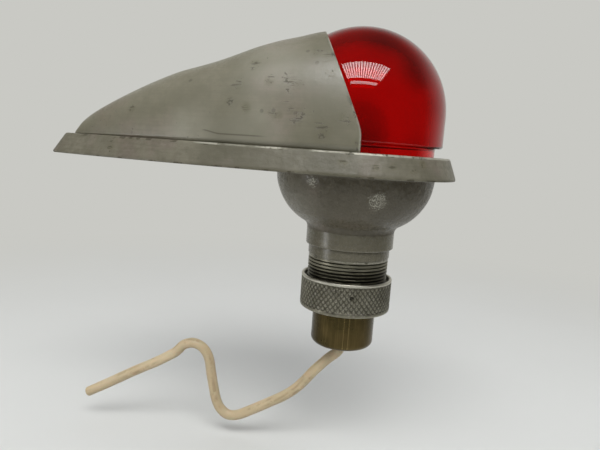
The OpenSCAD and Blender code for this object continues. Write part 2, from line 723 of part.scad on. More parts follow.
module contact_disc() {
    color("#5a3a22") ring(rivet_r + fit, shell_in - 0.15, base_z - rivet_t - disc_t, base_z - rivet_t);
}

module contact_rivet() {
    color("#b39a55") {
        translate([0, 0, base_z - rivet_t]) cylinder(r = rivet_head, h = rivet_t);
        translate([0, 0, block_z - rivet_in]) cylinder(r = rivet_r, h = base_z - rivet_t - block_z + rivet_in);
    }
}

base_casting();
threaded_sleeve();
fairing();
fairing_screws();
lens();
lens_gasket();
lens_snap_ring();
bayonet_tube();
brass_cap();
seal_washer();
insulator_block();
terminal_tube();
terminal_screw();
contact_spring();
cable_bush();
cable_tail();
cable_core();
cable();
union_ring();
thrust_washer();
bulb_glass();
bulb_cap();
bayonet_pins();
bulb_base();
bulb_contact();
bulb_stem();
support_wires();
filament();
contact_disc();
contact_rivet();
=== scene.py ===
"""Aircraft navigation light: red glass dome, teardrop fairing, flange, bowl, neck, union ring and lampholder.

Lengths are millimetres and become metres when a mesh is made, apart from those of the lead, the finishes'
relief and the setting, which are metres. The origin is on the axis of the bowl and the dome, in the plane of
the mounting face. +Z runs up the dome, and +X points forward, away from the tail.
"""
import logging
import math
from dataclasses import dataclass
from enum import Enum
from functools import cache, reduce
from typing import Callable, ClassVar, Protocol, Sequence

import bpy
import bmesh
import numpy as np
from mathutils import Matrix, Vector


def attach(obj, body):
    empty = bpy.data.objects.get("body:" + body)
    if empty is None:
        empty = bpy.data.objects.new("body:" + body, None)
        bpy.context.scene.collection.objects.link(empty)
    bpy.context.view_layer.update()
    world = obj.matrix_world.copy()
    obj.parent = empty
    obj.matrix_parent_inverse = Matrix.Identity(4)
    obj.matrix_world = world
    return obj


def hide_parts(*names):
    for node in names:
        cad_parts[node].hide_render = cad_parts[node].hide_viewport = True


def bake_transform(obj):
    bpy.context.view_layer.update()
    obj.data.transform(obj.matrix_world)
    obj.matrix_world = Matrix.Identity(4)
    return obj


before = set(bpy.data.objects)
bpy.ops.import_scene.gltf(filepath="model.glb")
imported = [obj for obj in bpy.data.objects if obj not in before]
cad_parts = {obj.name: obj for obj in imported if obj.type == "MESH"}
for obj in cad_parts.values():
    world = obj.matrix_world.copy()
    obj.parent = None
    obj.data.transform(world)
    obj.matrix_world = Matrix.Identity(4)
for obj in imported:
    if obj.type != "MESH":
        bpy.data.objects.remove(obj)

log = logging.getLogger("navigation_light")
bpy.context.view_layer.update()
MM = 0.001
TAU = 2 * math.pi
BEYOND_ARC = 0.12  # how far past an arc the next stretch starts to be shaded flat, in millimetres
Pair = tuple[float, float]
Triple = tuple[float, float, float]
Colour = Triple  # a display colour, from 0 to 255
Spots = tuple[tuple[float, ...], ...]  # x, y, z and reach in millimetres, and on glass a share of black
Array = np.ndarray
Socket = bpy.types.NodeSocket
Thing = bpy.types.Object


class Body(Enum):
    """The bodies that pieces ride on."""

    ROOT = "root"
    LAMPHOLDER = "lampholder"
    RING = "union_ring"
    BULB = "bulb"
    CONTACT = "centre_contact"


def linear(colour: Colour) -> Triple:
    """Scene-linear form of a display colour from 0 to 255."""
    return tuple((c / 255 / 12.92) if c <= 10 else ((c / 255 + 0.055) / 1.055) ** 2.4 for c in colour)


# Shapes

def arc(cx: float, cy: float, radius: float, start: float, stop: float, count: int) -> Array:
    """Points (cx + r cos t, cy + r sin t) with t from start to stop degrees, both ends included."""
    t = np.radians(np.linspace(start, stop, count))
    return np.stack([cx + radius * np.cos(t), cy + radius * np.sin(t)], 1)


def rounded(corners: Sequence[Triple], closed: bool = True, steps: int = 6) -> Array:
    """Rounds the corners of an outline.

    Each corner gives way to an arc tangent to both its sides, whose centre is on the corner's bisector,
    r / sin(half its angle) away. A point just beyond each end of an arc keeps the stretch between two arcs
    shaded flat.

    Args:
        corners: Each corner's x, y and radius.
        closed: Whether the last corner joins the first.
        steps: Points in each arc, less one.

    Returns:
        The outline's points.
    """
    points = np.array([c[:2] for c in corners], float)
    out: list[Array] = []
    for i, (here, (_, _, radius)) in enumerate(zip(points, corners)):
        if (not closed and i in (0, len(corners) - 1)) or radius <= 0:
            out.append(here[None])
            continue
        back, ahead = points[i - 1] - here, points[(i + 1) % len(corners)] - here
        room = min(np.linalg.norm(back), np.linalg.norm(ahead))
        back, ahead = back / np.linalg.norm(back), ahead / np.linalg.norm(ahead)
        half = math.acos(float(np.clip(back @ ahead, -1, 1))) / 2
        radius = min(radius, 0.45 * room * math.tan(half))
        reach = radius / math.tan(half)
        middle = here + (back + ahead) / np.linalg.norm(back + ahead) * radius / math.sin(half)
        a, b = here + back * reach - middle, here + ahead * reach - middle
        t = math.atan2(a[0] * b[1] - a[1] * b[0], float(a @ b)) * np.linspace(0, 1, steps + 1)[:, None]
        beyond = reach + min(BEYOND_ARC, 0.2 * room)
        out += [here[None] + back * beyond, middle + a * np.cos(t) + np.array([-a[1], a[0]]) * np.sin(t),
                here[None] + ahead * beyond]
    return np.vstack(out)


def circle(count: int) -> Array:
    """Angles spread evenly over a whole turn, in radians."""
    return np.linspace(0, TAU, count, endpoint=False)


def turned(radius: Array, z: Array, t: Array) -> Array:
    """Grid of (r cos t, r sin t, z), a row for each height, whose radius may change with the angle."""
    return np.stack([radius * np.cos(t), radius * np.sin(t), np.broadcast_to(z, (len(z), len(t)))], 2)


def revolve(profile: Array, count: int) -> Array:
    """Grid of a profile of (radius, height) turned about Z, with a row for each of its points."""
    return turned(profile[:, :1], profile[:, 1:], circle(count))


def off_by(angle: Array, middle: float | Array, whole: float = TAU) -> Array:
    """How far angles are from a middle the shorter way round: (a - m + w/2) mod w - w/2."""
    return np.mod(angle - middle + whole / 2, whole) - whole / 2


def quarter(*shares: float) -> list[Pair]:
    """Points (1 - sin t, 1 - cos t) of a quarter round of radius 1, at shares of its turn."""
    return [(1 - math.sin(s * math.pi / 2), 1 - math.cos(s * math.pi / 2)) for s in shares]


def smooth_step(low: float, high: float, x: Array) -> Array:
    """0 below low, 1 above high, and 3t^2 - 2t^3 between them."""
    t = np.clip((x - low) / (high - low), 0, 1)
    return t * t * (3 - 2 * t)


def ripple(points: Array, scale: float, seed: float) -> Array:
    """Smooth unevenness: the mean of two products of sines of the position over scale, shifted by seed.

    Args:
        points: Array of places.
        scale: Length that a radian of the sines takes up.
        seed: Number that sets the pattern.

    Returns:
        A number from -1 to 1 for each place.
    """
    x, y, z = np.moveaxis(points, -1, 0) / scale
    a = np.sin(x + 1.7 * y + seed) * np.sin(y - 1.3 * z + 2.1 * seed)
    b = np.sin(1.9 * z + 0.8 * x - seed) * np.sin(0.6 * y + 1.1 * x + 3.3 * seed)
    return (a + b) / 2


@dataclass(frozen=True)
class Teardrop:
    """Outline of the flange or the fairing from above: a front arc, two long side arcs and a tail arc."""

    front: float
    tail: float
    tip: float
    flank: float
    STEPS: ClassVar[tuple[int, int, int]] = (48, 60, 20)

    def centre(self) -> Pair:
        """Centre of the side arc at -Y, which touches the front and the tail arcs.

        Returns:
            Its x, and its distance from the centre line.
        """
        length = self.tail - self.tip
        x = ((self.flank - self.tip) ** 2 - (self.flank - self.front) ** 2 - length ** 2) / (2 * length)
        return x, math.sqrt((self.flank - self.front) ** 2 - x * x)

    def inset(self, depth: float, least: float = 0.0) -> "Teardrop":
        """The outline moved in by depth all round, with a tail arc of at least some radius."""
        return Teardrop(self.front - depth, self.tail - depth, max(self.tip - depth, least),
                        self.flank - depth)

    def points(self) -> Array:
        """The whole outline from the front round by +Y, for a closed grid.

        Returns:
            Its points.
        """
        x, y = self.centre()
        rear = self.tip - self.tail
        a = math.degrees(math.atan2(y, -x))
        b = math.degrees(math.atan2(y, rear - x))
        front, side, tail = self.STEPS
        half = np.vstack([arc(0, 0, self.front, 0, a, front + 1), arc(x, -y, self.flank, a, b, side + 1)[1:],
                          arc(rear, 0, self.tip, b, 180, tail + 1)[1:]])
        return np.vstack([half, half[-2:0:-1] * [1, -1]])

    def half_width(self, x: Array) -> Array:
        """Half of the outline's width: the root of r^2 - (x - c)^2 on the arc that x lies on.

        Args:
            x: Places along the centre line.

        Returns:
            The half width at each.
        """
        cx, cy = self.centre()
        rear = self.tip - self.tail
        front_end = -self.front * cx / (self.flank - self.front)
        side_end = rear - self.tip * (cx - rear) / (self.flank - self.tip)
        fore, side, aft = (np.sqrt(np.maximum(0, radius ** 2 - (x - middle) ** 2))
                           for radius, middle in ((self.front, 0), (self.flank, cx), (self.tip, rear)))
        return np.where(x > front_end, fore, np.where(x > side_end, side - cy, aft))


def turn_out(mesh: bpy.types.Mesh, weld: bool = False) -> None:
    """Turns a mesh's faces outwards.

    Args:
        mesh: The mesh.
        weld: Whether touching points are merged and holes filled first.
    """
    work = bmesh.new()
    work.from_mesh(mesh)
    if weld:
        bmesh.ops.remove_doubles(work, verts=work.verts, dist=0.00001)
        bmesh.ops.holes_fill(work, edges=[e for e in work.edges if e.is_boundary], sides=0)
    bmesh.ops.recalc_face_normals(work, faces=work.faces)
    work.to_mesh(mesh)
    work.free()


class Skin:
    """Collects grids of points, in millimetres, and makes one mesh of them, in metres."""

    def __init__(self) -> None:
        """Starts with no points."""
        self.points: list[Array] = []
        self.faces: list[Array] = []
        self.marks: list[Array] = []
        self.count = 0

    def grid(self, points: Array, around: bool = True, along: bool = False, ends: Sequence[int] = (),
             mark: Array | float = 0.0) -> "Skin":
        """Adds a grid of quads, and fans that close its ends.

        Args:
            points: Array of rows, columns and coordinates.
            around: Whether the last column joins the first.
            along: Whether the last row joins the first.
            ends: The rows that a fan closes.
            mark: Wear of each point, from 0 to 1.

        Returns:
            The skin itself.
        """
        rows, columns = points.shape[:2]
        index = self.count + np.arange(rows * columns).reshape(rows, columns)
        if around:
            index = np.hstack([index, index[:, :1]])
        if along:
            index = np.vstack([index, index[:1]])
        quads = np.stack([index[:-1, :-1], index[:-1, 1:], index[1:, 1:], index[1:, :-1]], 2)
        self.faces.append(quads.reshape(-1, 4))
        wear = np.broadcast_to(mark, (rows, columns))
        self._add(points.reshape(-1, 3), wear.reshape(-1))
        for row in ends:
            pole = np.full(index.shape[1] - 1, self.count)
            self.faces.append(np.stack([index[row, :-1], index[row, 1:], pole], 1))
            self._add(points[row].mean(0)[None], wear[row].mean()[None])
        return self

    def _add(self, points: Array, wear: Array) -> None:
        """Adds loose points.

        Args:
            points: The points.
            wear: The wear of each.
        """
        self.points.append(points)
        self.marks.append(wear)
        self.count += len(points)

    def make(self, name: str, sharp: float) -> Thing:
        """Makes the object, with faces outwards, smooth shading, and edges sharper than an angle kept sharp.

        Args:
            name: The object's name.
            sharp: The angle in degrees.

        Returns:
            The object, at the origin.
        """
        faces = [face for part in self.faces for face in part.tolist()]
        mesh = bpy.data.meshes.new(name)
        mesh.from_pydata((np.vstack(self.points) * MM).tolist(), [], faces)
        wear = mesh.attributes.new("wear", "FLOAT", "POINT")
        wear.data.foreach_set("value", np.concatenate(self.marks).astype(np.float32))
        turn_out(mesh)
        mesh.polygons.foreach_set("use_smooth", np.ones(len(mesh.polygons), bool))
        mesh.set_sharp_from_angle(angle=math.radians(sharp))
        thing = bpy.data.objects.new(name, mesh)
        bpy.context.scene.collection.objects.link(thing)
        return thing


# Finishes

class Nodes:
    """The node tree of a material, a world or a lamp, written as short calls."""

    def __init__(self, name: str, owner: bpy.types.World | bpy.types.Light | None = None) -> None:
        """Takes a world's or a lamp's tree, or makes a material, and reads Object coordinates or directions.

        Args:
            name: The new material's name.
            owner: The world or the lamp, or nothing for a material.
        """
        self.material = owner or bpy.data.materials.new(name)
        self.material.use_nodes = True
        self.tree = self.material.node_tree
        self.shader = self.tree.nodes.get("Principled BSDF")
        self.place = self.add("TexCoord", "Generated" if isinstance(owner, bpy.types.World) else "Object")

    def add(self, kind: str, output: str, inputs: dict[str | int, object] | None = None,
            **settings: str) -> Socket:
        """Adds a node.

        Args:
            kind: Its type, without the words that every type starts with.
            output: The name of the output that is wanted.
            inputs: Values or sockets for its inputs. Nothing leaves an input as it is.
            settings: The node's own settings, which come first.

        Returns:
            The output.
        """
        node = self.tree.nodes.new("ShaderNode" + kind)
        for key, value in settings.items():
            setattr(node, key, value)
        for key, value in (inputs or {}).items():
            if value is not None:
                self.put(node.inputs[key], value)
        return node.outputs[output]

    def put(self, socket: Socket, value: object) -> None:
        """Links an input, or sets its value.

        Args:
            socket: The input.
            value: A socket to link, or a value. A colour is a display colour.
        """
        if isinstance(value, Socket):
            self.tree.links.new(value, socket)
        else:
            socket.default_value = (*linear(value), 1.0) if socket.type == "RGBA" else value

    def set(self, **values: object) -> None:
        """Sets or links the shader's inputs, with underscores for spaces."""
        for key, value in values.items():
            self.put(self.shader.inputs[key.replace("_", " ")], value)

    def stretch(self, scale: Triple, turn: Triple = (0, 0, 0)) -> Socket:
        """Object coordinates turned and scaled."""
        return self.add("Mapping", "Vector", {"Vector": self.place, "Scale": scale, "Rotation": turn})

    def noise(self, scale: float, detail: float = 3.0, rough: float = 0.5,
              place: Socket | None = None) -> Socket:
        """Noise from 0 to 1."""
        inputs = {"Vector": place or self.place, "Scale": scale, "Detail": detail, "Roughness": rough}
        return self.add("TexNoise", "Fac", inputs)

    def cells(self, scale: float) -> Socket:
        """Distance to the nearest of many scattered points."""
        return self.add("TexVoronoi", "Distance", {"Vector": self.place, "Scale": scale})

    def ramp(self, value: Socket, low: float, high: float, start: float = 0.0, stop: float = 1.0) -> Socket:
        """Maps low to start and high to stop, smoothly and clamped."""
        inputs = {0: value, 1: low, 2: high, 3: start, 4: stop}
        return self.add("MapRange", "Result", inputs, interpolation_type="SMOOTHSTEP")

    def maths(self, kind: str, a: object, b: object = 0.0) -> Socket:
        """One sum or other operation on two numbers."""
        return self.add("Math", "Value", {0: a, 1: b}, operation=kind)

    def times(self, a: object, b: object) -> Socket:
        """The product of two numbers."""
        return self.maths("MULTIPLY", a, b)

    def most(self, a: object, b: object) -> Socket:
        """The larger of two numbers."""
        return self.maths("MAXIMUM", a, b)

    def mix(self, share: object, first: object, second: object) -> Socket:
        """Blends two colours."""
        return self.add("Mix", "Result", {"Factor": share, "A": first, "B": second}, data_type="RGBA")

    def near(self, spot: Sequence[float], wide: float = 1.0) -> Socket:
        """1 about a spot's place, falling to 0 at its reach.

        Args:
            spot: x, y, z and the reach, in millimetres.
            wide: What the reach is multiplied by.

        Returns:
            The share.
        """
        *middle, reach = (c * MM for c in spot[:4])
        away = self.add("VectorMath", "Value", {0: self.place, 1: tuple(middle)}, operation="DISTANCE")
        return self.ramp(away, 0.25 * reach * wide, reach * wide, 1, 0)

    def axis(self, letter: str) -> Socket:
        """One of the Object coordinates."""
        return self.add("SeparateXYZ", letter, {0: self.place})

    def ray(self, *kinds: str) -> Socket:
        """1 for light paths of the given kinds, and 0 for others."""
        return reduce(self.most, [self.add("LightPath", kind) for kind in kinds])

    def either(self, share: Socket, first: Socket, second: Socket, output: str) -> None:
        """Blends two shaders into the tree's output."""
        both = self.add("MixShader", "Shader", {0: share, 1: first, 2: second})
        self.put(self.tree.nodes[output].inputs["Surface"], both)

    def wear(self) -> Socket:
        """The mesh's own wear, from 0 to 1, and 0 where it has none."""
        return self.add("Attribute", "Fac", attribute_name="wear")

    def bump(self, height: Socket, depth: float, over: Socket | None = None) -> Socket:
        """Relief of a depth in metres, on top of another relief."""
        return self.add("Bump", "Normal", {"Height": height, "Distance": depth, "Normal": over})


@dataclass(frozen=True)
class Enamel:
    """Old grey-green enamel: faintly mottled, pitted in clusters, grazed along, and worn on its edges."""

    name: str = "grey_green_enamel"
    light: Colour = (126, 122, 105)
    dark: Colour = (108, 105, 88)
    warm: Colour = (123, 113, 101)
    pit: Colour = (58, 54, 38)
    # colour of metal on rubbed edges, and of the painted light and highlight specks
    bare_and_highlight: Colour = (176, 174, 160)
    cast: float = 0.00004
    lumps: float = 240.0
    rough: float = 0.32
    spots: Spots = (
        (-17.9, -22.2, 22.8, 4.8), (-17.0, -23.9, 15.8, 1.7), (-20.6, -23.6, 13.9, 2.2),
        (-15.5, -24.4, 14.0, 4.0), (-22.2, -23.2, 14.9, 1.7), (-9.0, -25.4, 10.9, 3.6),
        (-3.5, -25.8, 13.9, 3.0), (-12.1, -19.1, 31.0, 2.4), (-9.5, -20.6, 29.4, 2.8),
        (-7.9, -22.9, 25.1, 2.4), (-23.6, -21.0, 23.1, 2.2), (0.2, -26.2, 8.6, 1.3),
        (-64.9, -10.8, 14.4, 2.0), (-34.0, -20.3, 17.0, 2.0), (-29.5, -21.6, 15.6, 2.2),
        (-28.7, -17.5, 27.1, 2.6), (-32.8, -19.2, 21.8, 3.0))
    chips: Spots = ()
    painted_glints: Spots = ()
    painted_light_patches: Spots = ()
    stained: float = 1.0
    gloss: float = 0.8
    has_dark_line: bool = False

    def material(self) -> bpy.types.Material:
        """Builds the material: mottled paint, stains, pits and grazes round the spots, a thin dark line, and
        worn edges.

        Pits and grazes are the parts of a noise above a threshold that falls towards the middle of each spot.
        The lighter patches and the bright specks are painted light: lighter paint and highlights where light
        falls.

        Returns:
            The material.
        """
        n = Nodes(self.name)
        fine = n.noise(1100, 3, 0.6)
        paint: Colour | Socket = self.dark
        for grain, low, high, share, colour in (
                (n.noise(42, 4, 0.6), 0.34, 0.66, 1, self.light),
                (n.noise(75, 3, 0.55), 0.50, 0.70, 0.7, self.warm),
                (fine, 0.40, 0.70, 0.20, self.dark), (n.noise(380, 3, 0.6), 0.42, 0.64, 0.45, self.dark),
                (n.noise(1, 3, 0.6, n.stretch((50, 60, 1500))), 0.40, 0.66, 0.35, self.dark)):
            paint = n.mix(n.ramp(grain, low, high, 0, share), paint, colour)
        # Painted light: paint lightened round each listed patch, standing for light and sheen falling there.
        painted_light_share = n.ramp(n.noise(80, 4, 0.6), 0.35, 0.65, 0.17, 0.24)
        for spot in self.painted_light_patches:
            paint = n.mix(n.times(n.near(spot), painted_light_share), paint, self.bare_and_highlight)
        worn = reduce(n.most, map(n.near, self.spots), n.ramp(n.noise(34, 2, 0.5), 0.56, 0.74, 0, 0.55))
        lift = n.times(worn, 0.13)
        pitted = n.maths("ADD", n.noise(620, 5, 0.75), lift)
        grazed = n.maths("ADD", n.noise(1, 4, 0.65, n.stretch((130, 500, 2400), (0.0, 0.05, 0.0))), lift)
        specks = n.times(n.ramp(n.cells(260), 0.10, 0.19, 1, 0), n.ramp(n.noise(90, 2, 0.5), 0.57, 0.64))
        marks = n.most(n.most(n.ramp(pitted, 0.66, 0.73), n.ramp(grazed, 0.68, 0.76)), n.times(specks, 0.6))
        stain = n.times(worn, n.ramp(n.noise(300, 4, 0.6), 0.42, 0.62, 0, 0.5))
        paint = n.mix(n.times(stain, self.stained), paint, (96, 92, 68))
        edge = n.ramp(n.wear(), 0.02, 0.3, 0.36, 0.62)
        for spot in self.chips:
            chip = n.maths("ADD", n.times(n.near(spot, 1.7), edge), pitted)
            marks = n.most(marks, n.ramp(chip, 1.0, 1.08))
        paint = n.mix(n.times(marks, 0.66), paint, self.pit)
        # Painted highlights: bright specks round each listed spot, standing for glinting light on the rough
        # paint.
        for spot in self.painted_glints:
            bright = n.maths("ADD", n.times(n.near(spot), 0.24), n.noise(2600, 3, 0.6))
            paint = n.mix(n.ramp(bright, 0.68, 0.80, 0, 0.8), paint, self.bare_and_highlight)
        if self.has_dark_line:
            paint = n.mix(self.sag(n), paint, self.pit)
        rubbed = n.times(n.ramp(n.wear(), 0.55, 0.85), n.ramp(n.noise(110, 3, 0.6), 0.40, 0.56))
        chipped = n.times(n.ramp(n.wear(), 0.15, 0.45), n.ramp(n.noise(480, 3, 0.65), 0.55, 0.60))
        chipped = n.times(chipped, n.ramp(n.noise(60, 2, 0.5), 0.42, 0.54))
        tone = n.mix(n.times(rubbed, 0.8), paint, self.bare_and_highlight)
        rough = n.maths("ADD", n.ramp(fine, 0.3, 0.7, self.rough, self.rough + 0.12), n.times(marks, 0.3))
        relief = n.bump(n.most(marks, chipped), -0.00002, n.bump(n.noise(self.lumps, 3, 0.5), self.cast))
        n.set(Base_Color=n.mix(n.times(chipped, 0.85), tone, self.pit), Roughness=rough,
              Specular_IOR_Level=self.gloss, Metallic=n.times(rubbed, 0.3),
              Normal=n.bump(fine, 0.00001, relief))
        return n.material

    @staticmethod
    def sag(n: Nodes) -> Socket:
        """A thin dark line along the side, which rises towards the tail and fades out at both ends.

        Args:
            n: The material's nodes.

        Returns:
            The line's share, from 0 to 0.6.
        """
        x, z = n.axis("X"), n.axis("Z")
        off = n.maths("ABSOLUTE", n.maths("SUBTRACT", z, n.ramp(x, -0.0415, -0.036, 0.0094, 0.0086)))
        line = n.times(n.ramp(off, 0.00004, 0.0003, 1, 0), n.ramp(x, -0.042, -0.040))
        return n.times(line, n.ramp(x, -0.027, -0.022, 0.6, 0))


@dataclass(frozen=True)
class Metal:
    """A metal with stains, fine grain, dark grime where its wear is low, and bright where it is high: worn
    edges, and on the cap painted highlight lines.
    """

    name: str
    light: Colour
    dark: Colour
    bright: Colour
    rough: float = 0.35
    grain: Triple = (900, 900, 900)
    stain: float = 120.0
    grime: float = 0.0
    depth: float = 0.00001
    streaks: float = 0.35

    def material(self) -> bpy.types.Material:
        """Builds the material.

        Returns:
            The material.
        """
        n = Nodes(self.name)
        body = n.mix(n.ramp(n.noise(self.stain, 4, 0.6), 0.35, 0.65), self.dark, self.light)
        streak = n.noise(1, 3, 0.6, n.stretch(self.grain))
        body = n.mix(n.ramp(streak, 0.45, 0.75, 0, self.streaks), body, self.bright)
        body = n.mix(n.ramp(n.wear(), 0.55, 0.95), body, self.bright)
        if self.grime:
            body = n.mix(n.ramp(n.wear(), 0.02, 0.5, self.grime, 0), body, (26, 24, 20))
        n.set(Base_Color=body, Metallic=1.0, Normal=n.bump(streak, self.depth),
              Roughness=n.ramp(n.noise(self.stain * 2, 3), 0.3, 0.7, self.rough - 0.06, self.rough + 0.10))
        return n.material


@dataclass(frozen=True)
class Glass:
    """Glass, clear or coloured right through, which darkens with the length of the light's way in it."""

    name: str
    tint: Colour
    rough: float = 0.0
    index: float = 1.52
    density: float = 0.0
    keeps: Colour = (255, 255, 255)
    shows: float = 1.0
    deep: Spots = ()

    def material(self) -> bpy.types.Material:
        """Builds the material, with faint wipe marks in its gloss, and painted shade: darker round each spot
        by its share.

        Returns:
            The material.
        """
        n = Nodes(self.name)
        tint: Colour | Socket = self.tint
        # Painted shade: the tint darkens towards black round each spot, standing for shade seen in and behind
        # the dome.
        for spot in self.deep:
            tint = n.mix(n.times(n.near(spot), spot[4]), tint, (0, 0, 0))
        n.set(Base_Color=tint, Transmission_Weight=1.0, IOR=self.index, Alpha=self.shows,
              Roughness=n.ramp(n.noise(180, 4, 0.6), 0.4, 0.8, self.rough, self.rough + 0.04))
        if self.density:
            depth = n.add("VolumeAbsorption", "Volume", {"Color": self.keeps, "Density": self.density})
            n.put(n.tree.nodes["Material Output"].inputs["Volume"], depth)
        return n.material


@dataclass(frozen=True)
class Moulded:
    """Rubber, plastic or fused glass: two close colours, light grain and a set gloss."""

    name: str
    light: Colour
    dark: Colour
    rough: float = 0.5
    grain: float = 700.0
    soil: Colour | None = None
    soft: float = 0.0

    def material(self) -> bpy.types.Material:
        """Builds the material.

        Returns:
            The material.
        """
        n = Nodes(self.name)
        body = n.mix(n.ramp(n.noise(60, 4, 0.6), 0.35, 0.65), self.dark, self.light)
        if self.soil:
            streak = n.times(n.wear(), n.ramp(n.noise(500, 3, 0.6), 0.35, 0.6, 0, 0.55))
            body = n.mix(n.most(n.ramp(n.noise(320, 4, 0.7), 0.58, 0.72, 0, 0.6), streak), body, self.soil)
        grain = n.noise(self.grain, 3)
        n.set(Base_Color=body, Subsurface_Weight=self.soft, Subsurface_Scale=0.002,
              Normal=n.bump(grain, 0.000015),
              Roughness=n.ramp(grain, 0.3, 0.7, self.rough - 0.05, self.rough + 0.08))
        return n.material


FLANGE_CHIPS: Spots = (
    (-66.5, -13.0, 6.1, 1.3), (-61, -14.9, 6.1, 1), (-57.5, -16.1, 6.1, 1.4), (-49.5, -18.5, 6.1, 1.6),
    (-39.5, -21.1, 6.1, 1.3), (-33, -22.5, 6.1, 0.8), (-19, -24.9, 6.1, 1.4), (-10, -26.0, 6.1, 1.1),
    (-2, -26.6, 6.1, 1.2), (8.6, -25.3, 6.1, 1.2), (17.5, -20.2, 6.1, 0.9), (-74, -12.9, 0.3, 1),
    (-66, -15.9, 0.3, 1.8), (-55, -19.5, 0.3, 1.5), (-47, -21.7, 0.3, 2), (-30, -25.5, 0.3, 1),
    (-15.7, -27.6, 0.3, 1.4), (4, -28.5, 0.3, 1.2), (14, -25.2, 0.3, 1.3))


class Finish(Enum):
    """Every finish of the light, by what it covers."""

    ENAMEL = Enamel(has_dark_line=True, painted_light_patches=((-24, -16, 27, 14), (-27, -24, 9, 13), (-45, -19, 8, 12)))
    FLANGE_ENAMEL = Enamel(
        "worn_flange_enamel", (119, 115, 100), (90, 87, 72), (116, 105, 96), cast=0.00016, lumps=420.0,
        rough=0.38, chips=FLANGE_CHIPS, gloss=0.4,
        spots=((-70.0, -13.5, 2.5, 2.0), (-49.0, -21.6, 4.0, 2.4), (-44.0, -23.5, 2.0, 1.8),
               (-30.0, -26.3, 4.2, 1.8), (-22.0, -27.5, 3.0, 2.2), (-13.0, -27.0, 4.6, 1.6),
               (-3.0, -27.9, 3.6, 2.0), (5.0, -27.6, 2.6, 1.6), (9.5, -26.3, 3.4, 1.5),
               (14.5, -24.0, 2.0, 1.8), (17.0, -21.5, 4.4, 1.7)))
    # The neck's and the bowl's paints are darker than the fairing's: partly their own finish, and partly
    # painted shade from the flange above them. The bowl's lighter patch and bright specks are painted light.
    SHADED_NECK_ENAMEL = Enamel("shaded_smooth_neck_enamel", (115, 111, 95), (101, 97, 82), (107, 102, 88), rough=0.20,
                         stained=0.0, spots=())
    SHADED_BOWL_ENAMEL = Enamel(
        "shaded_cast_bowl_enamel", (103, 97, 84), (84, 79, 66), (110, 98, 89), cast=0.0003, lumps=480.0, rough=0.24,
        stained=0.0, gloss=0.3, painted_light_patches=((-18, -12, -9, 15),),
        spots=((-8.5, -20.6, -5.2, 2.2), (-17.6, -14.0, -5.6, 1.5), (9.5, -13.5, -15.2, 1.6)),
        painted_glints=((6.7, -21.0, -6.1, 4.2), (-10.9, -20.3, -2.3, 2.6)))
    SLEEVE = Metal("thread_metal", (130, 127, 110), (108, 105, 90), (158, 155, 138), 0.42, grime=0.85)
    RING = Metal("knurled_aluminium", (148, 145, 129), (122, 119, 105), (206, 203, 190), 0.40, grime=0.52)
    BRASS_CAP = Metal("aged_cap_brass", (92, 79, 50), (68, 60, 36), (160, 138, 92), 0.27,
                      (2500, 2500, 90), 90.0, streaks=0.14)
    BRASS = Metal("satin_brass", (186, 158, 92), (150, 122, 66), (222, 198, 132), 0.28)
    STEEL = Metal("plain_steel", (160, 160, 158), (120, 120, 118), (205, 205, 203), 0.32)
    SOLDER = Metal("dull_solder", (150, 150, 152), (118, 118, 120), (190, 190, 192), 0.45)
    COPPER = Metal("copper_wire", (186, 120, 82), (130, 78, 50), (226, 160, 120), 0.30)
    RED_GLASS = Glass(
        "ruby_glass", (255, 25, 25), rough=0.02, index=1.46, density=1020.0, keeps=(246, 0, 0),
        # spots of painted shade, darkening the tint where shade falls in the dome
        deep=((2, -22, 5, 11, 0.50), (14, -17, 5, 9, 0.25), (0, -24, 13, 10, 0.40),
              (15, -15.5, 29, 9, 0.62), (19.5, -12, 20, 6, 0.3), (6, -13, 37, 11, 0.45)))
    LAMP_GLASS = Glass("clear_bulb_glass", (250, 252, 250), shows=0.03)
    RUBBER = Moulded("soft_black_rubber", (38, 37, 35), (26, 25, 24), 0.62)
    PHENOLIC = Moulded("dark_brown_moulding", (78, 54, 36), (58, 38, 26), 0.38)
    FUSED = Moulded("black_fused_glass", (24, 24, 26), (16, 16, 17), 0.14)
    INSULATION = Moulded("cream_covering", (197, 180, 148), (180, 163, 131), 0.42, 500.0,
                         soil=(138, 118, 86), soft=0.15)

    @cache
    def made(self) -> bpy.types.Material:
        """The finish's material, made once."""
        return self.value.material()


def dress(thing: Thing, finishes: Sequence[Finish], body: Body | None, slot: str, *nodes: str) -> None:
    """Gives a new piece its finishes and its body, and hides the nodes that it stands for.

    Args:
        thing: The piece.
        finishes: Its finishes, in the order of its material indices.
        body: What it rides on, or nothing for a piece that is stretched between two bodies.
        slot: The record's material slot. Not used.
        nodes: The CAD nodes that it replaces.
    """
    for finish in finishes:
        thing.data.materials.append(finish.made())
    if body:
        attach(thing, body.value)
    if nodes:
        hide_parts(*nodes)
    log.info("%s: %d faces", thing.name, len(thing.data.polygons))


def share_out(thing: Thing, rule: Callable[[Array], Array]) -> None:
    """Gives each face of a piece the finish with the index that a rule finds.

    Args:
        thing: The piece.
        rule: Turns the middles of the faces, in metres, into indices.
    """
    middles = np.zeros(len(thing.data.polygons) * 3)
    thing.data.polygons.foreach_get("center", middles)
    thing.data.polygons.foreach_set("material_index", rule(middles.reshape(-1, 3)).astype(np.int32))


# Pieces

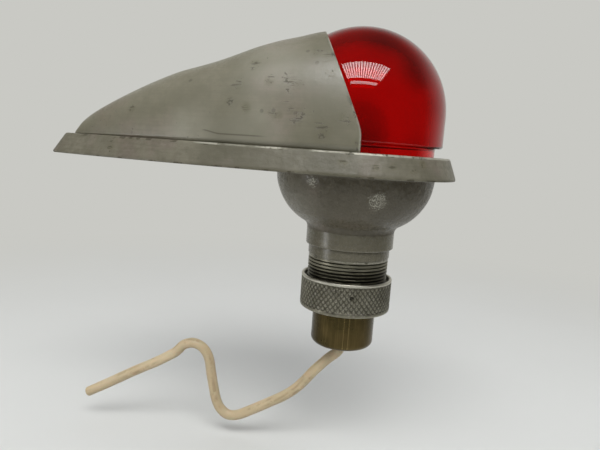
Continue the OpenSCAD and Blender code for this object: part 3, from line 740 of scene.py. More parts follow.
@dataclass
class BaseCasting:
    """The bevelled flange with the lens's seat, the bowl below it and the neck, as one closed casting."""

    foot: Teardrop = Teardrop(28.8, 94.4, 6.0, 230.0)
    top: Teardrop = Teardrop(26.7, 90.5, 4.2, 230.0)
    thick: float = 6.2
    land: float = 0.6
    edge: float = 0.45
    foot_edge: float = 0.25
    mouth: float = 25.4
    seat_radius: float = 23.6
    seat_floor: float = 1.0
    groove: Triple = (24.2, 3.95, 4.85)
    bowl_edge: float = 0.6
    bowl_radius: float = 23.2
    bowl_arc: float = 16.4
    bowl_wall: float = 2.0
    floor: float = 13.0
    neck: float = 13.1
    fillet: float = 2.5
    depth: float = 21.45
    bore: float = 11.0
    hole_radius: float = 1.25
    hole_depth: float = 3.2
    hole_circle: float = 26.2
    tail_holes: Pair = (-60.0, 6.0)
    screws: tuple[Pair, ...] = ((-40.0, 16.1), (-40.0, -16.1), (-74.0, 0.0))
    screw_radius: float = 1.6
    head_radius: float = 3.2
    head_depth: float = 1.6
    drilled_from: float = -1.0
    finish_tops: Pair = (-0.02, -17.3)

    def bowl_profile(self) -> Array:
        """Outside of the bowl and neck from the flange down: an arc, a fillet that touches it, and the neck.

        Returns:
            Points of (radius, height).
        """
        cx = self.bowl_radius - self.bowl_arc
        fx = self.neck + self.fillet
        fz = -math.sqrt((self.bowl_arc + self.fillet) ** 2 - (fx - cx) ** 2)
        turn = math.degrees(math.atan2(-fz, fx - cx))
        bowl = arc(cx, 0, self.bowl_arc, 0, -turn, 34)
        fillet = arc(fx, fz, self.fillet, 180 - turn, 180, 12)[1:]
        end = rounded([(self.neck, fz, 0), (self.neck, -self.depth, 0.35), (self.bore, -self.depth, 0.3),
                       (self.bore, -self.floor, 0)], closed=False)
        return np.vstack([bowl[1:], fillet, end[1:]])

    def inside_profile(self) -> Array:
        """From the neck's bore over the bowl's floor and up its inside, the lens's seat and its groove.

        Returns:
            Points of (radius, height).
        """
        cx = self.bowl_radius - self.bowl_arc
        r = self.bowl_arc - self.bowl_wall
        turn = math.degrees(math.asin(self.floor / r))
        wide, low, high = self.groove
        seat = self.seat_radius
        rise = rounded([(cx + r, 0, 0), (cx + r, self.seat_floor, 0.15), (seat, self.seat_floor, 0.1),
                        (seat, low, 0.05), (wide, low, 0.05), (wide, high, 0.05), (seat, high, 0.05),
                        (seat, self.thick, 0.3), (self.mouth, self.thick, 0)], closed=False, steps=4)
        return np.vstack([arc(cx, 0, r, -turn, 0, 20), rise[1:]])

    def grid(self) -> tuple[Array, Array]:
        """The casting's one closed grid and its wear.

        Rows on the flange are the two outlines blended, and moved in or out. Rows on the bowl and the seat
        are circles, with their points in the directions that those of the foot's outline have from the axis.

        Returns:
            The points and the wear of each.
        """
        foot, top = self.foot.points(), self.top.points()
        way, spread = foot / np.linalg.norm(foot, axis=1)[:, None], foot - top
        inner_top, low = self.top.inset(self.edge + 0.15).points(), self.foot.inset(0.6).points()
        rows: list[tuple[Array, float, float]] = [(way * r, z, 0.0) for r, z in self.inside_profile()]
        rows += [(way * self.mouth * (1 - s) + inner_top * s, self.thick, 0.0) for s in (0.25, 0.5, 0.75)]
        rows.append((inner_top, self.thick, 0.25))
        for (side, drop), wear in zip(quarter(0, 0.5, 1), (0.7, 1.0, 0.8)):
            line = self.top.inset(self.edge * side * 0.9).points()
            slope = spread * self.edge * drop / (self.thick - self.land)
            rows.append((line + slope, self.thick - self.edge * drop, wear))
        rows += [(top + spread * s, self.thick + (self.land - self.thick) * s, 0.25 if s < 0.15 else 0.0)
                 for s in (0.12, 0.2, 0.35, 0.5, 0.65, 0.8, 0.92, 1.0)]
        rows.append((foot, self.land * 0.55, 0.4))
        rows += [(self.foot.inset(self.foot_edge * side).points(), self.foot_edge * rise, wear)
                 for (rise, side), wear in zip(quarter(0.35, 0.7, 1), (0.5, 0.56, 0.5))]
        rows.append((low, 0.0, 0.3))
        rows += [(low * (1 - s) + way * (self.bowl_radius + 1.5 * self.bowl_edge) * s, 0.0, 0.0)
                 for s in (0.25, 0.5, 0.75, 1)]
        rows += [(way * (self.bowl_radius + self.bowl_edge * side), -self.bowl_edge * drop, 0.0)
                 for side, drop in quarter(0.25, 0.5, 0.75, 1)]
        rows += [(way * r, z, 0.0) for r, z in self.bowl_profile()[1:]]
        grid = np.stack([np.column_stack([flat, np.full(len(flat), z)]) for flat, z, _ in rows])
        less_behind = 0.55 + 0.45 * smooth_step(-50, -36, grid[..., 0])
        return grid, np.array([wear for _, _, wear in rows])[:, None] * less_behind

    def cutters(self) -> Thing:
        """Drills for the tapped holes and the countersunk screw holes.

        Returns:
            One object of them all.
        """
        wide, end = self.hole_radius + 0.3, self.hole_depth - 0.6
        drill = np.array([(wide, self.drilled_from), (wide, 0.02), (self.hole_radius, 0.32),
                          (self.hole_radius, end), (0.25, self.hole_depth)])
        sink = np.array([(self.head_radius, self.drilled_from), (self.head_radius, 0.0),
                         (self.screw_radius, self.head_depth), (self.screw_radius, self.thick + 1.3)])
        back, side = self.tail_holes
        holes = [*arc(0, 0, self.hole_circle, 45, 315, 4), (back, -side), (back, side)]
        skin = Skin()
        for profile, places in ((drill, holes), (sink, self.screws)):
            for x, y in places:
                skin.grid(revolve(profile, 32) + [x, y, 0], ends=(0, -1))
        return skin.make("casting_drills", 40)

    def build(self) -> None:
        """Makes the casting, drills it, and gives the flange, the bowl and the neck a finish each.

        The bowl's points are moved out or in by a ripple, which fades towards the flange and the neck's end.
        """
        grid, wear = self.grid()
        far, high = np.linalg.norm(grid[..., :2], axis=2, keepdims=True), grid[..., 2:]
        uneven = 0.05 * ripple(grid, 3.1, 0.4) + 0.03 * ripple(grid, 1.3, 1.9)
        uneven = uneven[..., None] * (far > self.bore + 1.5) * smooth_step(1.0, -2.0, high)
        uneven = uneven * smooth_step(1.0 - self.depth, 3.0 - self.depth, high)
        grid[..., :2] *= 1 + uneven / np.maximum(far, 1e-6)
        casting = Skin().grid(grid, along=True, mark=wear).make("flange_bowl_and_neck", 30)
        tools = self.cutters()
        cut = casting.modifiers.new("holes", "BOOLEAN")
        cut.operation, cut.solver, cut.object = "DIFFERENCE", "EXACT", tools
        apply_modifiers(casting)
        bpy.data.objects.remove(tools)
        finishes = [Finish.FLANGE_ENAMEL, Finish.SHADED_BOWL_ENAMEL, Finish.SHADED_NECK_ENAMEL]
        dress(casting, finishes, Body.ROOT, "grey_enamel", "base_casting")
        share_out(casting, lambda middles: sum(
            (middles[:, 2] < top * MM).astype(int) for top in self.finish_tops))


def apply_modifiers(thing: Thing) -> None:
    """Bakes an object's modifiers into its mesh and removes them.

    Args:
        thing: The object.
    """
    graph = bpy.context.evaluated_depsgraph_get()
    mesh = bpy.data.meshes.new_from_object(thing.evaluated_get(graph))
    thing.modifiers.clear()
    old, thing.data = thing.data, mesh
    mesh.name = thing.name
    bpy.data.meshes.remove(old)


@dataclass
class Fairing:
    """The hollow teardrop cowl behind the dome, with its sloping front edge."""

    plan: Teardrop = Teardrop(26.25, 87.75, 3.0, 230.0)
    base: float = 6.2
    corner: Pair = (-12.0, 40.6)
    kink: float = 11.5
    slope: float = 24.0
    wall: float = 1.6
    square: float = 2.5
    dome: Pair = (24.4, 17.25)
    gap: float = 0.25
    rows: int = 150
    columns: int = 121
    knots: tuple[Pair, ...] = (
        (0, 0), (0.015, 0.044), (0.04, 0.113), (0.08, 0.183), (0.15, 0.275), (0.25, 0.389), (0.36, 0.502),
        (0.46, 0.591), (0.54, 0.643), (0.61, 0.691), (0.68, 0.748), (0.76, 0.817), (0.84, 0.872),
        (0.92, 0.914), (1, 0.958), (1.15, 0.993), (1.3, 1.008))

    def ridge(self, share: Array) -> Array:
        """Height of the ridge as a share of the front corner's: a cubic Hermite curve through the knots.

        Args:
            share: Places along the ridge, from 0 at the tail to 1 at the corner.

        Returns:
            The height at each.
        """
        u, v = np.array(self.knots).T
        slope = np.gradient(v, u)
        slope[1:-1] = (v[2:] - v[:-2]) / (u[2:] - u[:-2])
        i = np.clip(np.searchsorted(u, share) - 1, 0, len(u) - 2)
        d = u[i + 1] - u[i]
        t = (share - u[i]) / d
        return ((2 * t ** 3 - 3 * t * t + 1) * v[i] + (t ** 3 - 2 * t * t + t) * d * slope[i]
                + (3 * t * t - 2 * t ** 3) * v[i + 1] + (t ** 3 - t * t) * d * slope[i + 1])

    def surface(self, x: Array, angle: Array, inset: float) -> Array:
        """The cowl, a superellipse over the plan's width w and the ridge's height h: (w cos^e t, h sin^e t).

        Args:
            x: Places along the cowl.
            angle: Angles t round it.
            inset: How far the surface is set in.

        Returns:
            The points.
        """
        plan = self.plan.inset(inset, 1.0)
        share = (x + plan.tail) / (self.plan.tail + self.corner[0] - inset)
        high = (self.corner[1] - inset - self.base) * self.ridge(share)
        c, s, e = np.cos(angle), np.sin(angle), 2 / self.square
        y = plan.half_width(x) * np.sign(c) * np.abs(c) ** e
        return np.stack([x, y, self.base + high * np.maximum(s, 0) ** e], -1)

    def front(self, z: Array) -> Array:
        """Where the front edge is: a slope that turns upright below the kink, with a soft corner.

        Args:
            z: Heights.

        Returns:
            The edge's x at each.
        """
        lean = math.tan(math.radians(self.slope))
        off = (z - self.kink) * lean
        stop = self.corner[0] + (self.corner[1] - self.kink) * lean
        return stop - 0.5 * (off + np.sqrt(off ** 2 + 0.35))

    def shell(self, inset: float) -> Array:
        """Rows from the tail to the front edge.

        Each column's end is found by setting its x to the front edge's at its height, again and again.

        Args:
            inset: How far the shell is set in.

        Returns:
            Its grid.
        """
        angle = np.linspace(math.pi, 0, self.columns)
        end = np.full(self.columns, -5.0)
        for _ in range(12):
            end = self.front(self.surface(end, angle, inset)[:, 2])
        tip = inset + 0.06 - self.plan.tail
        x = tip + (end - tip) * np.linspace(0, 1, self.rows)[:, None] ** 1.6
        return self.surface(x, np.broadcast_to(angle, x.shape), inset)

    def clear_of_dome(self, points: Array) -> Array:
        """Pushes points out of the room round the dome: a sphere over a cylinder.

        Args:
            points: Points of the shell.

        Returns:
            The points, none nearer to the dome than the gap.
        """
        radius, centre = self.dome[0] + self.gap, self.dome[1]
        axis = np.zeros_like(points)
        axis[..., 2] = np.minimum(points[..., 2], centre)
        away = points - axis
        far = np.linalg.norm(away, axis=-1, keepdims=True)
        return np.where(far < radius, axis + away / np.maximum(far, 1e-9) * radius, points)

    def build(self) -> None:
        """Makes the outside, a rounded rim, the inside and the foot as one closed shell."""
        outer, inner = self.shell(0), self.clear_of_dome(self.shell(self.wall))
        lip = outer[-1]
        lip_in = self.clear_of_dome(lip * [1, 0.955, 0.965] + [0, 0, 0.25])
        lip_in[:, 0] = lip[:, 0]
        lip_in[:, 2] = np.maximum(lip_in[:, 2], self.base)
        rim = [lip + (lip_in - lip) * s + [0.16 * math.sin(s * math.pi), 0, 0] for s in (0.1, 0.3, 0.7, 0.95)]
        inner[-1] = lip_in - [0.25, 0, 0]
        grid = np.vstack([outer, rim, inner[::-1]])
        wear = np.zeros(grid.shape[:2])
        wear[self.rows - 2], wear[self.rows - 1], wear[self.rows:self.rows + len(rim)] = 0.25, 0.9, 1.0
        shell = Skin().grid(grid, around=False, mark=wear)
        for side in (0, -1):
            feet = np.stack([outer[:, side], inner[:, side]])
            feet[1, :, 2] = self.base
            shell.grid(feet, around=False)
        cowl = shell.make("cowl", 35)
        turn_out(cowl.data, weld=True)
        dress(cowl, [Finish.ENAMEL], Body.ROOT, "grey_enamel", "fairing")


@dataclass
class Lens:
    """The red glass: a dome with a thick wall, a narrower neck and the rim that the snap ring holds."""

    radius: float = 24.4
    wall: float = 3.8
    foot: float = 8.65
    straight: float = 8.6
    neck: float = 22.3
    rim: float = 23.3
    rim_low: float = 2.0
    rim_high: float = 4.0

    def build(self) -> None:
        """Turns the closed profile of the glass about the axis."""
        middle = self.foot + self.straight
        inner = self.radius - self.wall
        low = rounded([(inner, middle, 0), (inner, self.rim_low, 0.4), (self.rim, self.rim_low, 0.4),
                       (self.rim, self.rim_high, 0.4), (self.neck, self.rim_high, 0.3),
                       (self.neck, self.foot, 0.5), (self.radius, self.foot, 0.8), (self.radius, middle, 0)],
                      closed=False)
        outside = arc(0, middle, self.radius, 0, 89.2, 60)[1:]
        inside = arc(0, middle, inner, 89.2, 0, 60)[:-1]
        glass = Skin().grid(revolve(np.vstack([inside, low, outside]), 160), ends=(0, -1))
        dress(glass.make("red_dome", 60), [Finish.RED_GLASS], Body.ROOT, "red_glass", "lens")


@dataclass
class ThreadedSleeve:
    """The collar and the external thread under the neck, with the bore that the lampholder slides in."""

    collar: float = 12.2
    top: float = -21.45
    start: float = -24.2
    end: float = -36.0
    crest: float = 12.0
    depth: float = 0.58
    pitch: float = 1.0
    bore: float = 9.75
    spigot: float = 10.98
    spigot_top: float = -14.5
    run_out: float = 0.6
    lead_in: float = 0.5
    phase: float = 0.4
    worn_above: Pair = (-28.7, -26.7)

    def build(self) -> None:
        """Makes the thread as a radius that changes with height and angle, and the rest as turned rows.

        The crests are narrow and dirty near the ring, and wider and worn bright higher up.
        """
        columns = 144
        t, thread_top = circle(columns), self.start - self.run_out
        z = np.linspace(self.start, self.end, 15 * round((self.start - self.end) / self.pitch) + 1)[:, None]
        flank = np.abs(np.mod((z - self.end) / self.pitch - self.phase - t / TAU, 1.0) - 0.5) * 2
        worn = smooth_step(*self.worn_above, z)
        height = np.clip((flank - 0.18 + 0.10 * worn) / (0.62 - 0.34 * worn), 0, 1)
        height = height * smooth_step(self.end, self.end + self.lead_in, z)
        cut = smooth_step(thread_top, thread_top - self.run_out, z)
        above = rounded([(self.bore, self.spigot_top, 0.2), (self.spigot, self.spigot_top, 0.3),
                         (self.spigot, self.top, 0), (self.collar, self.top, 0.25),
                         (self.collar, self.start, 0.25), (self.crest, self.start, 0)], closed=False)[:-1]
        below = np.array([(self.crest - self.depth - 0.3, self.end), (self.bore + 0.2, self.end),
                          (self.bore, self.end + 0.2)])
        thread = turned(self.crest - self.depth * (1 - height) * cut, z, t)
        grid = np.concatenate([revolve(above, columns), thread, revolve(below, columns)])
        wear = np.concatenate([np.zeros((len(above), columns)), height * (0.36 + 0.30 * worn) + 0.10 * worn,
                               np.full((len(below), columns), 0.3)])
        sleeve = Skin().grid(grid, along=True, mark=wear).make("threaded_neck", 50)
        dress(sleeve, [Finish.SLEEVE, Finish.SHADED_NECK_ENAMEL], Body.ROOT, "dull_aluminium", "threaded_sleeve")
        share_out(sleeve, lambda middles: middles[:, 2] > (thread_top - 0.1) * MM)


@dataclass
class UnionRing:
    """The knurled ring: a diamond knurl between two rounded edges, a plain mouth and a carrying lip."""

    radius: float = 13.72
    low: float = -40.5
    high: float = -30.7
    mouth: float = 12.75
    mouth_depth: float = 1.2
    bore: float = 12.13
    lip: float = 9.7
    lip_top: float = -38.7
    teeth: int = 56
    knurl_depth: float = 0.24
    lean: float = 40.0
    upper_edge: float = 0.75
    lower_edge: float = 1.1
    mark: Triple = (-80.8, -34.6, 0.6)

    def build(self) -> None:
        """Makes the outside as a radius cut by two crossing sets of grooves, and the rest as turned rows."""
        columns = self.teeth * 12
        t, first, last = circle(columns), self.high - self.upper_edge, self.low + self.lower_edge
        z = np.linspace(first, last, 96)[:, None]
        twist = z * math.tan(math.radians(self.lean)) / self.radius
        peak = np.abs(np.cos(self.teeth * (t + twist) / 2) * np.cos(self.teeth * (t - twist) / 2))
        height = np.minimum(1, peak * 1.5)
        fade = smooth_step(first, first - 0.45, z) * smooth_step(last, last + 0.4, z)
        angle, level, deep = self.mark
        away = np.hypot(self.radius * off_by(t, math.radians(angle)), z - level)
        grooves = self.knurl_depth * (1 - height) * fade
        radius = self.radius - 0.05 - grooves - deep * smooth_step(0.65, 0.35, away)
        top = rounded([(self.mouth, self.high - self.mouth_depth, 0.1), (self.mouth, self.high, 0.35),
                       (self.radius, self.high, 0.55), (self.radius - 0.03, self.high - 0.7, 0)],
                      closed=False)
        foot = rounded([(self.radius - 0.03, self.low + 1.05, 0), (self.radius - 0.1, self.low, 1.2),
                        (self.lip, self.low, 0.3), (self.lip, self.lip_top, 0.2),
                        (self.bore, self.lip_top, 0.1), (self.bore, self.high - self.mouth_depth, 0.2)],
                       closed=False, steps=4)
        wear_top = np.interp(np.arange(len(top)), [0, 6, 10, len(top) - 1], [0.2, 0.6, 1.0, 0.925])
        grid = np.concatenate([revolve(top, columns), turned(radius, z, t), revolve(foot, columns)])
        wear = np.concatenate([np.repeat(wear_top[:, None], columns, 1),
                               np.where(away < 0.62, 0, height ** 2 * 0.56),
                               np.full((len(foot), columns), 0.45)])
        ring = Skin().grid(grid, along=True, mark=wear).make("knurled_ring", 60)
        dress(ring, [Finish.RING], Body.RING, "bare_aluminium", "union_ring")


@dataclass
class BrassCap:
    """The lampholder's spun brass cap, with its rounded end and the hole for the lead."""

    radius: float = 9.5
    wall: float = 0.8
    top: float = -38.2
    low: float = -52.2
    bend: float = 1.8
    hole: float = 2.4
    painted_highlights: tuple[float, ...] = (-86.4, -77.8)

    def build(self) -> None:
        """Turns the cap's closed profile about the axis, with painted highlight lines along its side at some
        angles.
        """
        inner = self.radius - self.wall
        profile = rounded([(self.hole, self.low, 0.15), (self.radius, self.low, self.bend),
                           (self.radius, self.top, 0.15), (inner, self.top, 0.15),
                           (inner, self.low + self.wall, self.bend - self.wall),
                           (self.hole, self.low + self.wall, 0.15)], steps=10)
        near = profile[:, 0] > self.radius - 0.25
        edge = near & (profile[:, 1] < self.low + self.bend * 0.8)
        t = np.linspace(0, 360, 288, endpoint=False)
        # Painted highlights: thin lines down the side at the listed angles, made bright through the wear,
        # standing for reflections of a narrow light.
        highlighted = np.min([np.abs(off_by(t, angle, 360)) for angle in self.painted_highlights], 0) < 0.7
        mark = np.maximum(0.6 * edge[:, None], 0.9 * near[:, None] * highlighted)
        cap = Skin().grid(revolve(profile, len(t)), along=True, mark=mark)
        dress(cap.make("brass_end_cap", 40), [Finish.BRASS_CAP], Body.LAMPHOLDER, "tarnished_brass",
              "brass_cap")


@dataclass
class Lead:
    """The cream lead: a stiff single core that keeps the bends it was given, with a cut end."""

    route: tuple[Pair, ...] = (
        (0, 0), (0, -0.0016), (-0.001, -0.0036), (-0.0036, -0.006), (-0.0076, -0.0104), (-0.012, -0.016),
        (-0.0162, -0.0197), (-0.021, -0.0227), (-0.027, -0.0262), (-0.0314, -0.0285), (-0.0346, -0.0288),
        (-0.0372, -0.027), (-0.0388, -0.024), (-0.0398, -0.02), (-0.0408, -0.0155), (-0.0418, -0.0105),
        (-0.0438, -0.0072), (-0.047, -0.0058), (-0.0502, -0.0067), (-0.0524, -0.0090), (-0.0545, -0.0106),
        (-0.0595, -0.0137), (-0.067, -0.0178), (-0.075, -0.0225), (-0.0826, -0.0268))
    streaks: tuple[Triple, ...] = (
        (2.45, 0.0130, 0.0041), (3.35, 0.0090, 0.0057), (3.95, 0.0110, 0.0034), (0.4, 0.0100, 0.0049))
    exit: float = -0.0522
    diameter: float = 0.0032
    core: float = 0.0015
    length: float = 0.1158
    steps: int = 8

    def line(self) -> Array:
        """A Catmull-Rom curve: a cubic through each of the route's points, at the slope (next - last) / 2.

        Returns:
            The curve's points, in metres.
        """
        p = np.array(self.route)
        p = np.column_stack([p[:, 0], np.zeros(len(p)), p[:, 1] + self.exit])
        before, after = np.vstack([p[:1], p[:-2]]), np.vstack([p[2:], p[-1:]])
        p0, p1, p2, p3 = (q[:, None] for q in (before, p[:-1], p[1:], after))
        t = np.linspace(0, 1, self.steps, endpoint=False)[None, :, None]
        curve = 0.5 * (2 * p1 + (p2 - p0) * t + (2 * p0 - 5 * p1 + 4 * p2 - p3) * t ** 2
                       + (3 * p1 - p0 - 3 * p2 + p3) * t ** 3)
        return np.vstack([curve.reshape(-1, 3), p[-1:]])

    def build(self) -> None:
        """Sweeps a circle along the line and closes it with a cut face round the copper core."""
        line = self.line()
        ahead = np.gradient(line, axis=0)
        ahead[0] = (0, 0, -1)
        ahead /= np.linalg.norm(ahead, axis=1)[:, None]
        side = np.array([0.0, 1.0, 0.0])
        up = np.cross(ahead, side)
        t = circle(32)
        along = np.concatenate([[0], np.cumsum(np.linalg.norm(np.diff(line, axis=0), axis=1))])
        radius = self.diameter / 2 * (1 - 0.012 * (1 + np.sin(along / 0.0031) * np.sin(along / 0.0017)))
        ring = side * np.cos(t)[:, None] + up[:, None] * np.sin(t)[:, None]
        tube = line[:, None] + ring * radius[:, None, None]
        last = line[-1] + ahead[-1] * np.array([0, 0.0001, 0.0001])[:, None]
        reach = np.array([radius[-1] * 0.97, radius[-1] * 0.9, self.core / 2])
        cut = last[:, None] + ring[-1] * reach[:, None, None]
        cut[0] -= ahead[-1] * 0.00005
        pit = line[-1] - ahead[-1] * 0.0004 + ring[-1] * self.core / 2
        grid = np.concatenate([tube[:-1], tube[-1:] - ahead[-1] * 0.00025, cut, pit[None]]) / MM
        far = np.append(along, np.full(len(grid) - len(along), along[-1]))[:, None]
        grime = np.zeros(grid.shape[:2])
        for angle, drift, beat in self.streaks:
            off = np.abs(off_by(t - angle, 0.35 * np.sin(far / drift)))
            strong = smooth_step(-0.3, 0.5, np.sin(far / beat + angle))
            grime = np.maximum(grime, smooth_step(0.35, 0.05, off) * strong)
        lead = Skin().grid(grid, ends=(0, -1), mark=grime).make("cream_lead", 50)
        dress(lead, [Finish.INSULATION, Finish.COPPER], Body.LAMPHOLDER, "cream_insulation", "cable")
        share_out(lead, lambda middles: np.linalg.norm(middles - line[-1], axis=1) < self.core * 0.51)


@dataclass
class Bulb:
    """The glass of the bulb: a globe drawn in to a neck that sits in the bulb's own cap."""

    radius: float = 9.0
    centre: float = 12.5
    neck: float = 7.15
    waist: float = 6.8
    low: float = -8.7
    cap_top: float = 2.3
    wall: float = 0.6

    def build(self) -> None:
        """Turns the closed profile of the glass about the axis."""
        turn = -math.degrees(math.acos(self.waist / self.radius))
        neck = rounded([(0.3, self.low, 0), (self.neck, self.low, 0.8), (self.neck, self.cap_top - 2, 1.5),
                        (self.waist, self.cap_top + 1, 1.5)], closed=False)
        inside = np.maximum(neck - [self.wall, 0], [0.1, self.low + self.wall])
        skin = Skin()
        for part, radius in ((neck, self.radius), (inside, self.radius - self.wall)):
            globe = arc(0, self.centre, radius, turn, 89, 40)[1:]
            skin.grid(revolve(np.vstack([part[:-1], globe]), 96), ends=(0, -1))
        dress(skin.make("bulb_globe", 60), [Finish.LAMP_GLASS], Body.BULB, "lamp_glass", "bulb_glass")


@dataclass
class ContactSpring:
    """The coil spring from the block to the centre contact, which shortens it as it goes down."""

    radius: float = 5.0
    wire: float = 0.4
    low: float = -29.54
    high: float = -17.76
    turns: int = 6

    def build(self) -> None:
        """Sweeps a circle along a helix (r cos t, r sin t, rise t), in upright planes through its axis."""
        t = np.linspace(0, TAU * self.turns, 36 * self.turns + 1)
        out = np.stack([np.cos(t), np.sin(t), np.zeros_like(t)], 1)
        line = out * self.radius + np.outer(np.linspace(self.low, self.high, len(t)), (0, 0, 1))
        a = circle(12)[:, None]
        ring = out[:, None] * np.cos(a) + np.array([0, 0, 1]) * np.sin(a)
        spring = Skin().grid(line[:, None] + ring * self.wire, ends=(0, -1)).make("coil_spring", 50)
        dress(spring, [Finish.STEEL], None, "steel", "contact_spring")
        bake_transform(spring)


class CadNodes:
    """The CAD nodes whose own shape is right, each with its finish."""

    FINISHES: ClassVar[dict[Finish, str]] = {
        Finish.STEEL: "fairing_screws lens_snap_ring terminal_screw support_wires filament",
        Finish.RUBBER: "lens_gasket seal_washer cable_bush",
        Finish.BRASS: "bayonet_tube terminal_tube thrust_washer bulb_cap bayonet_pins contact_rivet",
        Finish.PHENOLIC: "insulator_block contact_disc",
        Finish.INSULATION: "cable_tail",
        Finish.COPPER: "cable_core",
        Finish.FUSED: "bulb_base",
        Finish.SOLDER: "bulb_contact",
        Finish.LAMP_GLASS: "bulb_stem",
    }

    def build(self) -> None:
        """Assigns each node's material."""
        for finish, names in self.FINISHES.items():
            for name in names.split():
                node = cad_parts[name]
                if not node.material_slots:
                    node.data.materials.append(finish.made())
                for slot in node.material_slots:
                    slot.material = finish.made()
                log.info("%s: CAD shape, %s", name, finish.name.lower())


# Setting

@dataclass(frozen=True)
class PhotoCamera:
    """The camera fitted to the photo. Angles are in degrees, and the focal length and the width in pixels.

    The shift is the origin's place as the camera has it, along its right, up and back, in millimetres.
    """

    azimuth: float = 6.0
    elevation: float = 8.06
    roll: float = -4.02
    focal: float = 525.5
    width: int = 600
    shift: Triple = (16.4, 15.29, -156.6)

    def build(self) -> None:
        """Makes the camera, with its axes turned by the roll, at the place that undoes the shift."""
        a, e, r = (math.radians(v) for v in (self.azimuth, self.elevation, self.roll))
        back = np.array([math.sin(a) * math.cos(e), -math.cos(a) * math.cos(e), math.sin(e)])
        right = np.array([math.cos(a), math.sin(a), 0.0])
        up = np.cross(back, right)
        axes = np.stack([math.cos(r) * right - math.sin(r) * up,
                         math.sin(r) * right + math.cos(r) * up, back])
        place = -axes.T @ np.array(self.shift) * MM
        data = bpy.data.cameras.new("photo_camera")
        data.sensor_width = 36.0
        data.lens = self.focal / self.width * data.sensor_width
        data.clip_start, data.clip_end = 0.005, 20.0
        camera = bpy.data.objects.new("photo_camera", data)
        camera.matrix_world = Matrix.Translation(Vector(place)) @ Matrix(axes.T.tolist()).to_4x4()
        bpy.context.scene.collection.objects.link(camera)
        bpy.context.scene.camera = camera


@dataclass(frozen=True)
class Lamp:
    """A soft rectangular lamp: its place, aim, width and height in metres, and its power in watts."""

    name: str
    place: Triple
    aim: Triple
    wide: float
    high: float
    power: float

    def hang(self) -> bpy.types.Light:
        """Makes the lamp and points it.

        Returns:
            Its data.
        """
        data = bpy.data.lights.new(self.name, "AREA")
        data.shape, data.size, data.size_y, data.energy = "RECTANGLE", self.wide, self.high, self.power
        thing = bpy.data.objects.new(self.name, data)
        thing.location = self.place
        thing.rotation_euler = (Vector(self.aim) - Vector(self.place)).to_track_quat("-Z", "Y").to_euler()
        bpy.context.scene.collection.objects.link(thing)
        return data


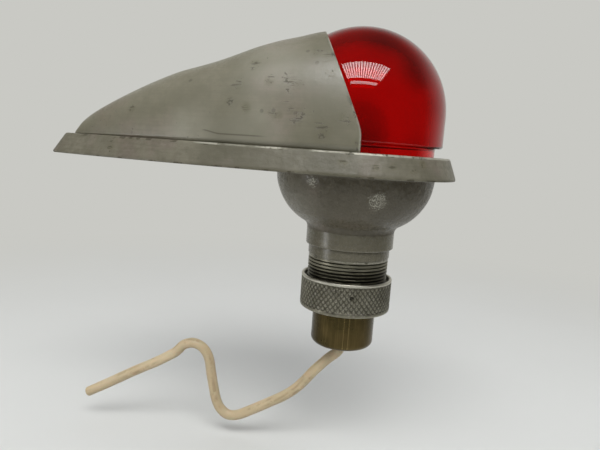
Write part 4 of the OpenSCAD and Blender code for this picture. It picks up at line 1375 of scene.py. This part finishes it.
@dataclass
class Studio:
    """A pale floor that fades into a pale room with a dim ceiling, a slatted skylight and two more lamps."""

    floor: float = -0.0880
    radius: float = 3.0
    fade: Pair = (0.10, 0.42)
    tone: Colour = (208, 209, 206)
    tone_dim: Colour = (203, 204, 201)
    tone_far: Colour = (110, 110, 106)
    room: Colour = (201, 201, 196)
    front: Colour = (70, 67, 61)
    ceiling: Colour = (86, 82, 76)
    daylight: Colour = (252, 253, 255)
    dusk: Pair = (0.40, 0.85)
    turn: Pair = (0.0, 0.85)
    through: float = 0.55
    slats: int = 18
    glow: Pair = (-0.25, 1.0)
    ambient: Pair = (0.10, 0.86)
    skylight: Lamp = Lamp("skylight", (0.035, -0.46, 0.60), (0.035, -0.46, 0.0), 0.62, 0.37, 4.9)
    pane: Lamp = Lamp("skylight_pane", (0.03, -0.80, 0.60), (0.03, -0.80, 0.0), 0.55, 0.11, 1.2)
    window: Lamp = Lamp("side_window", (-0.42, -0.22, -0.055), (0, 0, -0.01), 0.05, 0.05, 0.22)
    SEEN: ClassVar[tuple[str, ...]] = ("Is Camera Ray", "Is Glossy Ray", "Is Transmission Ray")

    def build(self) -> None:
        """Makes the floor, the world and the lamps."""
        self.ground()
        self.sky()
        self.slatted(self.skylight.hang())
        self.pane.hang()
        self.window.hang()
        bpy.context.scene.view_settings.view_transform = "Standard"

    def ground(self) -> None:
        """Makes the floor: a lit disc near the object, and the room's own colour, as seen, farther off."""
        rows = revolve(np.array([(r, self.floor) for r in (0.02, 0.1, 0.3, 0.8, self.radius)]), 96) / MM
        floor = Skin().grid(rows, ends=(0,)).make("pale_floor", 80)
        n = Nodes("pale_floor")
        length = n.add("VectorMath", "Value", {0: n.place}, operation="LENGTH")
        far = n.ramp(length, *self.fade)
        near = n.mix(n.ramp(n.noise(9, 3), 0.3, 0.7, 0, 0.5), self.tone, self.tone_dim)
        unseen = n.maths("SUBTRACT", 1.0, n.ray("Is Camera Ray"))
        n.set(Base_Color=n.mix(n.times(far, unseen), near, self.tone_far), Roughness=0.9)
        seen = n.add("Emission", "Emission", {"Color": self.walls(n, n.maths("DIVIDE", n.axis("Y"), length))})
        n.either(n.times(far, n.ray(*self.SEEN)), n.shader.outputs["BSDF"], seen, "Material Output")
        floor.data.materials.append(n.material)

    def walls(self, n: Nodes, ahead: Socket) -> Socket:
        """The room's colour: plain where it is seen, also through glass, and dim ahead where it is mirrored.

        Args:
            n: The nodes of the floor or the world.
            ahead: The direction's share of +Y.

        Returns:
            The colour.
        """
        mirrored = n.maths("SUBTRACT", 1.0, n.ray("Is Glossy Ray"))
        plain = n.most(mirrored, n.ray("Is Transmission Ray"))
        return n.mix(n.most(plain, n.ramp(ahead, *self.turn)), self.front, self.room)

    def sky(self) -> None:
        """Makes the world: a soft light on the object, and the room's colour where it is seen or mirrored."""
        world = bpy.data.worlds.new("pale_room")
        n = Nodes("pale_room", world)
        light = n.add("Background", "Background", {
            "Color": self.daylight, "Strength": n.ramp(n.axis("Z"), *self.glow, *self.ambient)})
        through = n.times(n.ray("Is Transmission Ray"), self.through)
        dim = n.maths("SUBTRACT", 1.0, n.most(n.ray("Is Camera Ray"), through))
        above = n.times(n.ramp(n.axis("Z"), *self.dusk), dim)
        colour = n.mix(above, self.walls(n, n.axis("Y")), self.ceiling)
        seen = n.add("Background", "Background", {"Color": colour})
        n.either(n.ray(*self.SEEN), light, seen, "World Output")
        bpy.context.scene.world = world

    def slatted(self, lamp: bpy.types.Light) -> None:
        """Puts slats across a lamp, so that it is mirrored as bright and dim bars: 1 + 0.9 sin(turns across).

        Args:
            lamp: The lamp's data.
        """
        n = Nodes(lamp.name, lamp)
        n.place = n.add("NewGeometry", "Parametric")
        wave = n.maths("SINE", n.times(n.axis("X"), self.slats * TAU))
        n.put(n.tree.nodes["Emission"].inputs["Strength"], n.maths("ADD", n.times(wave, 0.9), 1.0))


class Builder(Protocol):
    """What every class that main runs can do."""

    def build(self) -> None:
        """Makes the class's own part of the scene."""


def main() -> None:
    """Builds the camera, the lead, the other pieces and the setting, in that order."""
    logging.basicConfig(level=logging.INFO, format="%(name)s: %(message)s")
    builders: tuple[Builder, ...] = (
        PhotoCamera(), Lead(), BaseCasting(), Fairing(), Lens(), ThreadedSleeve(), UnionRing(), BrassCap(),
        Bulb(), ContactSpring(), CadNodes(), Studio())
    for builder in builders:
        builder.build()


if __name__ == "__main__":
    main()
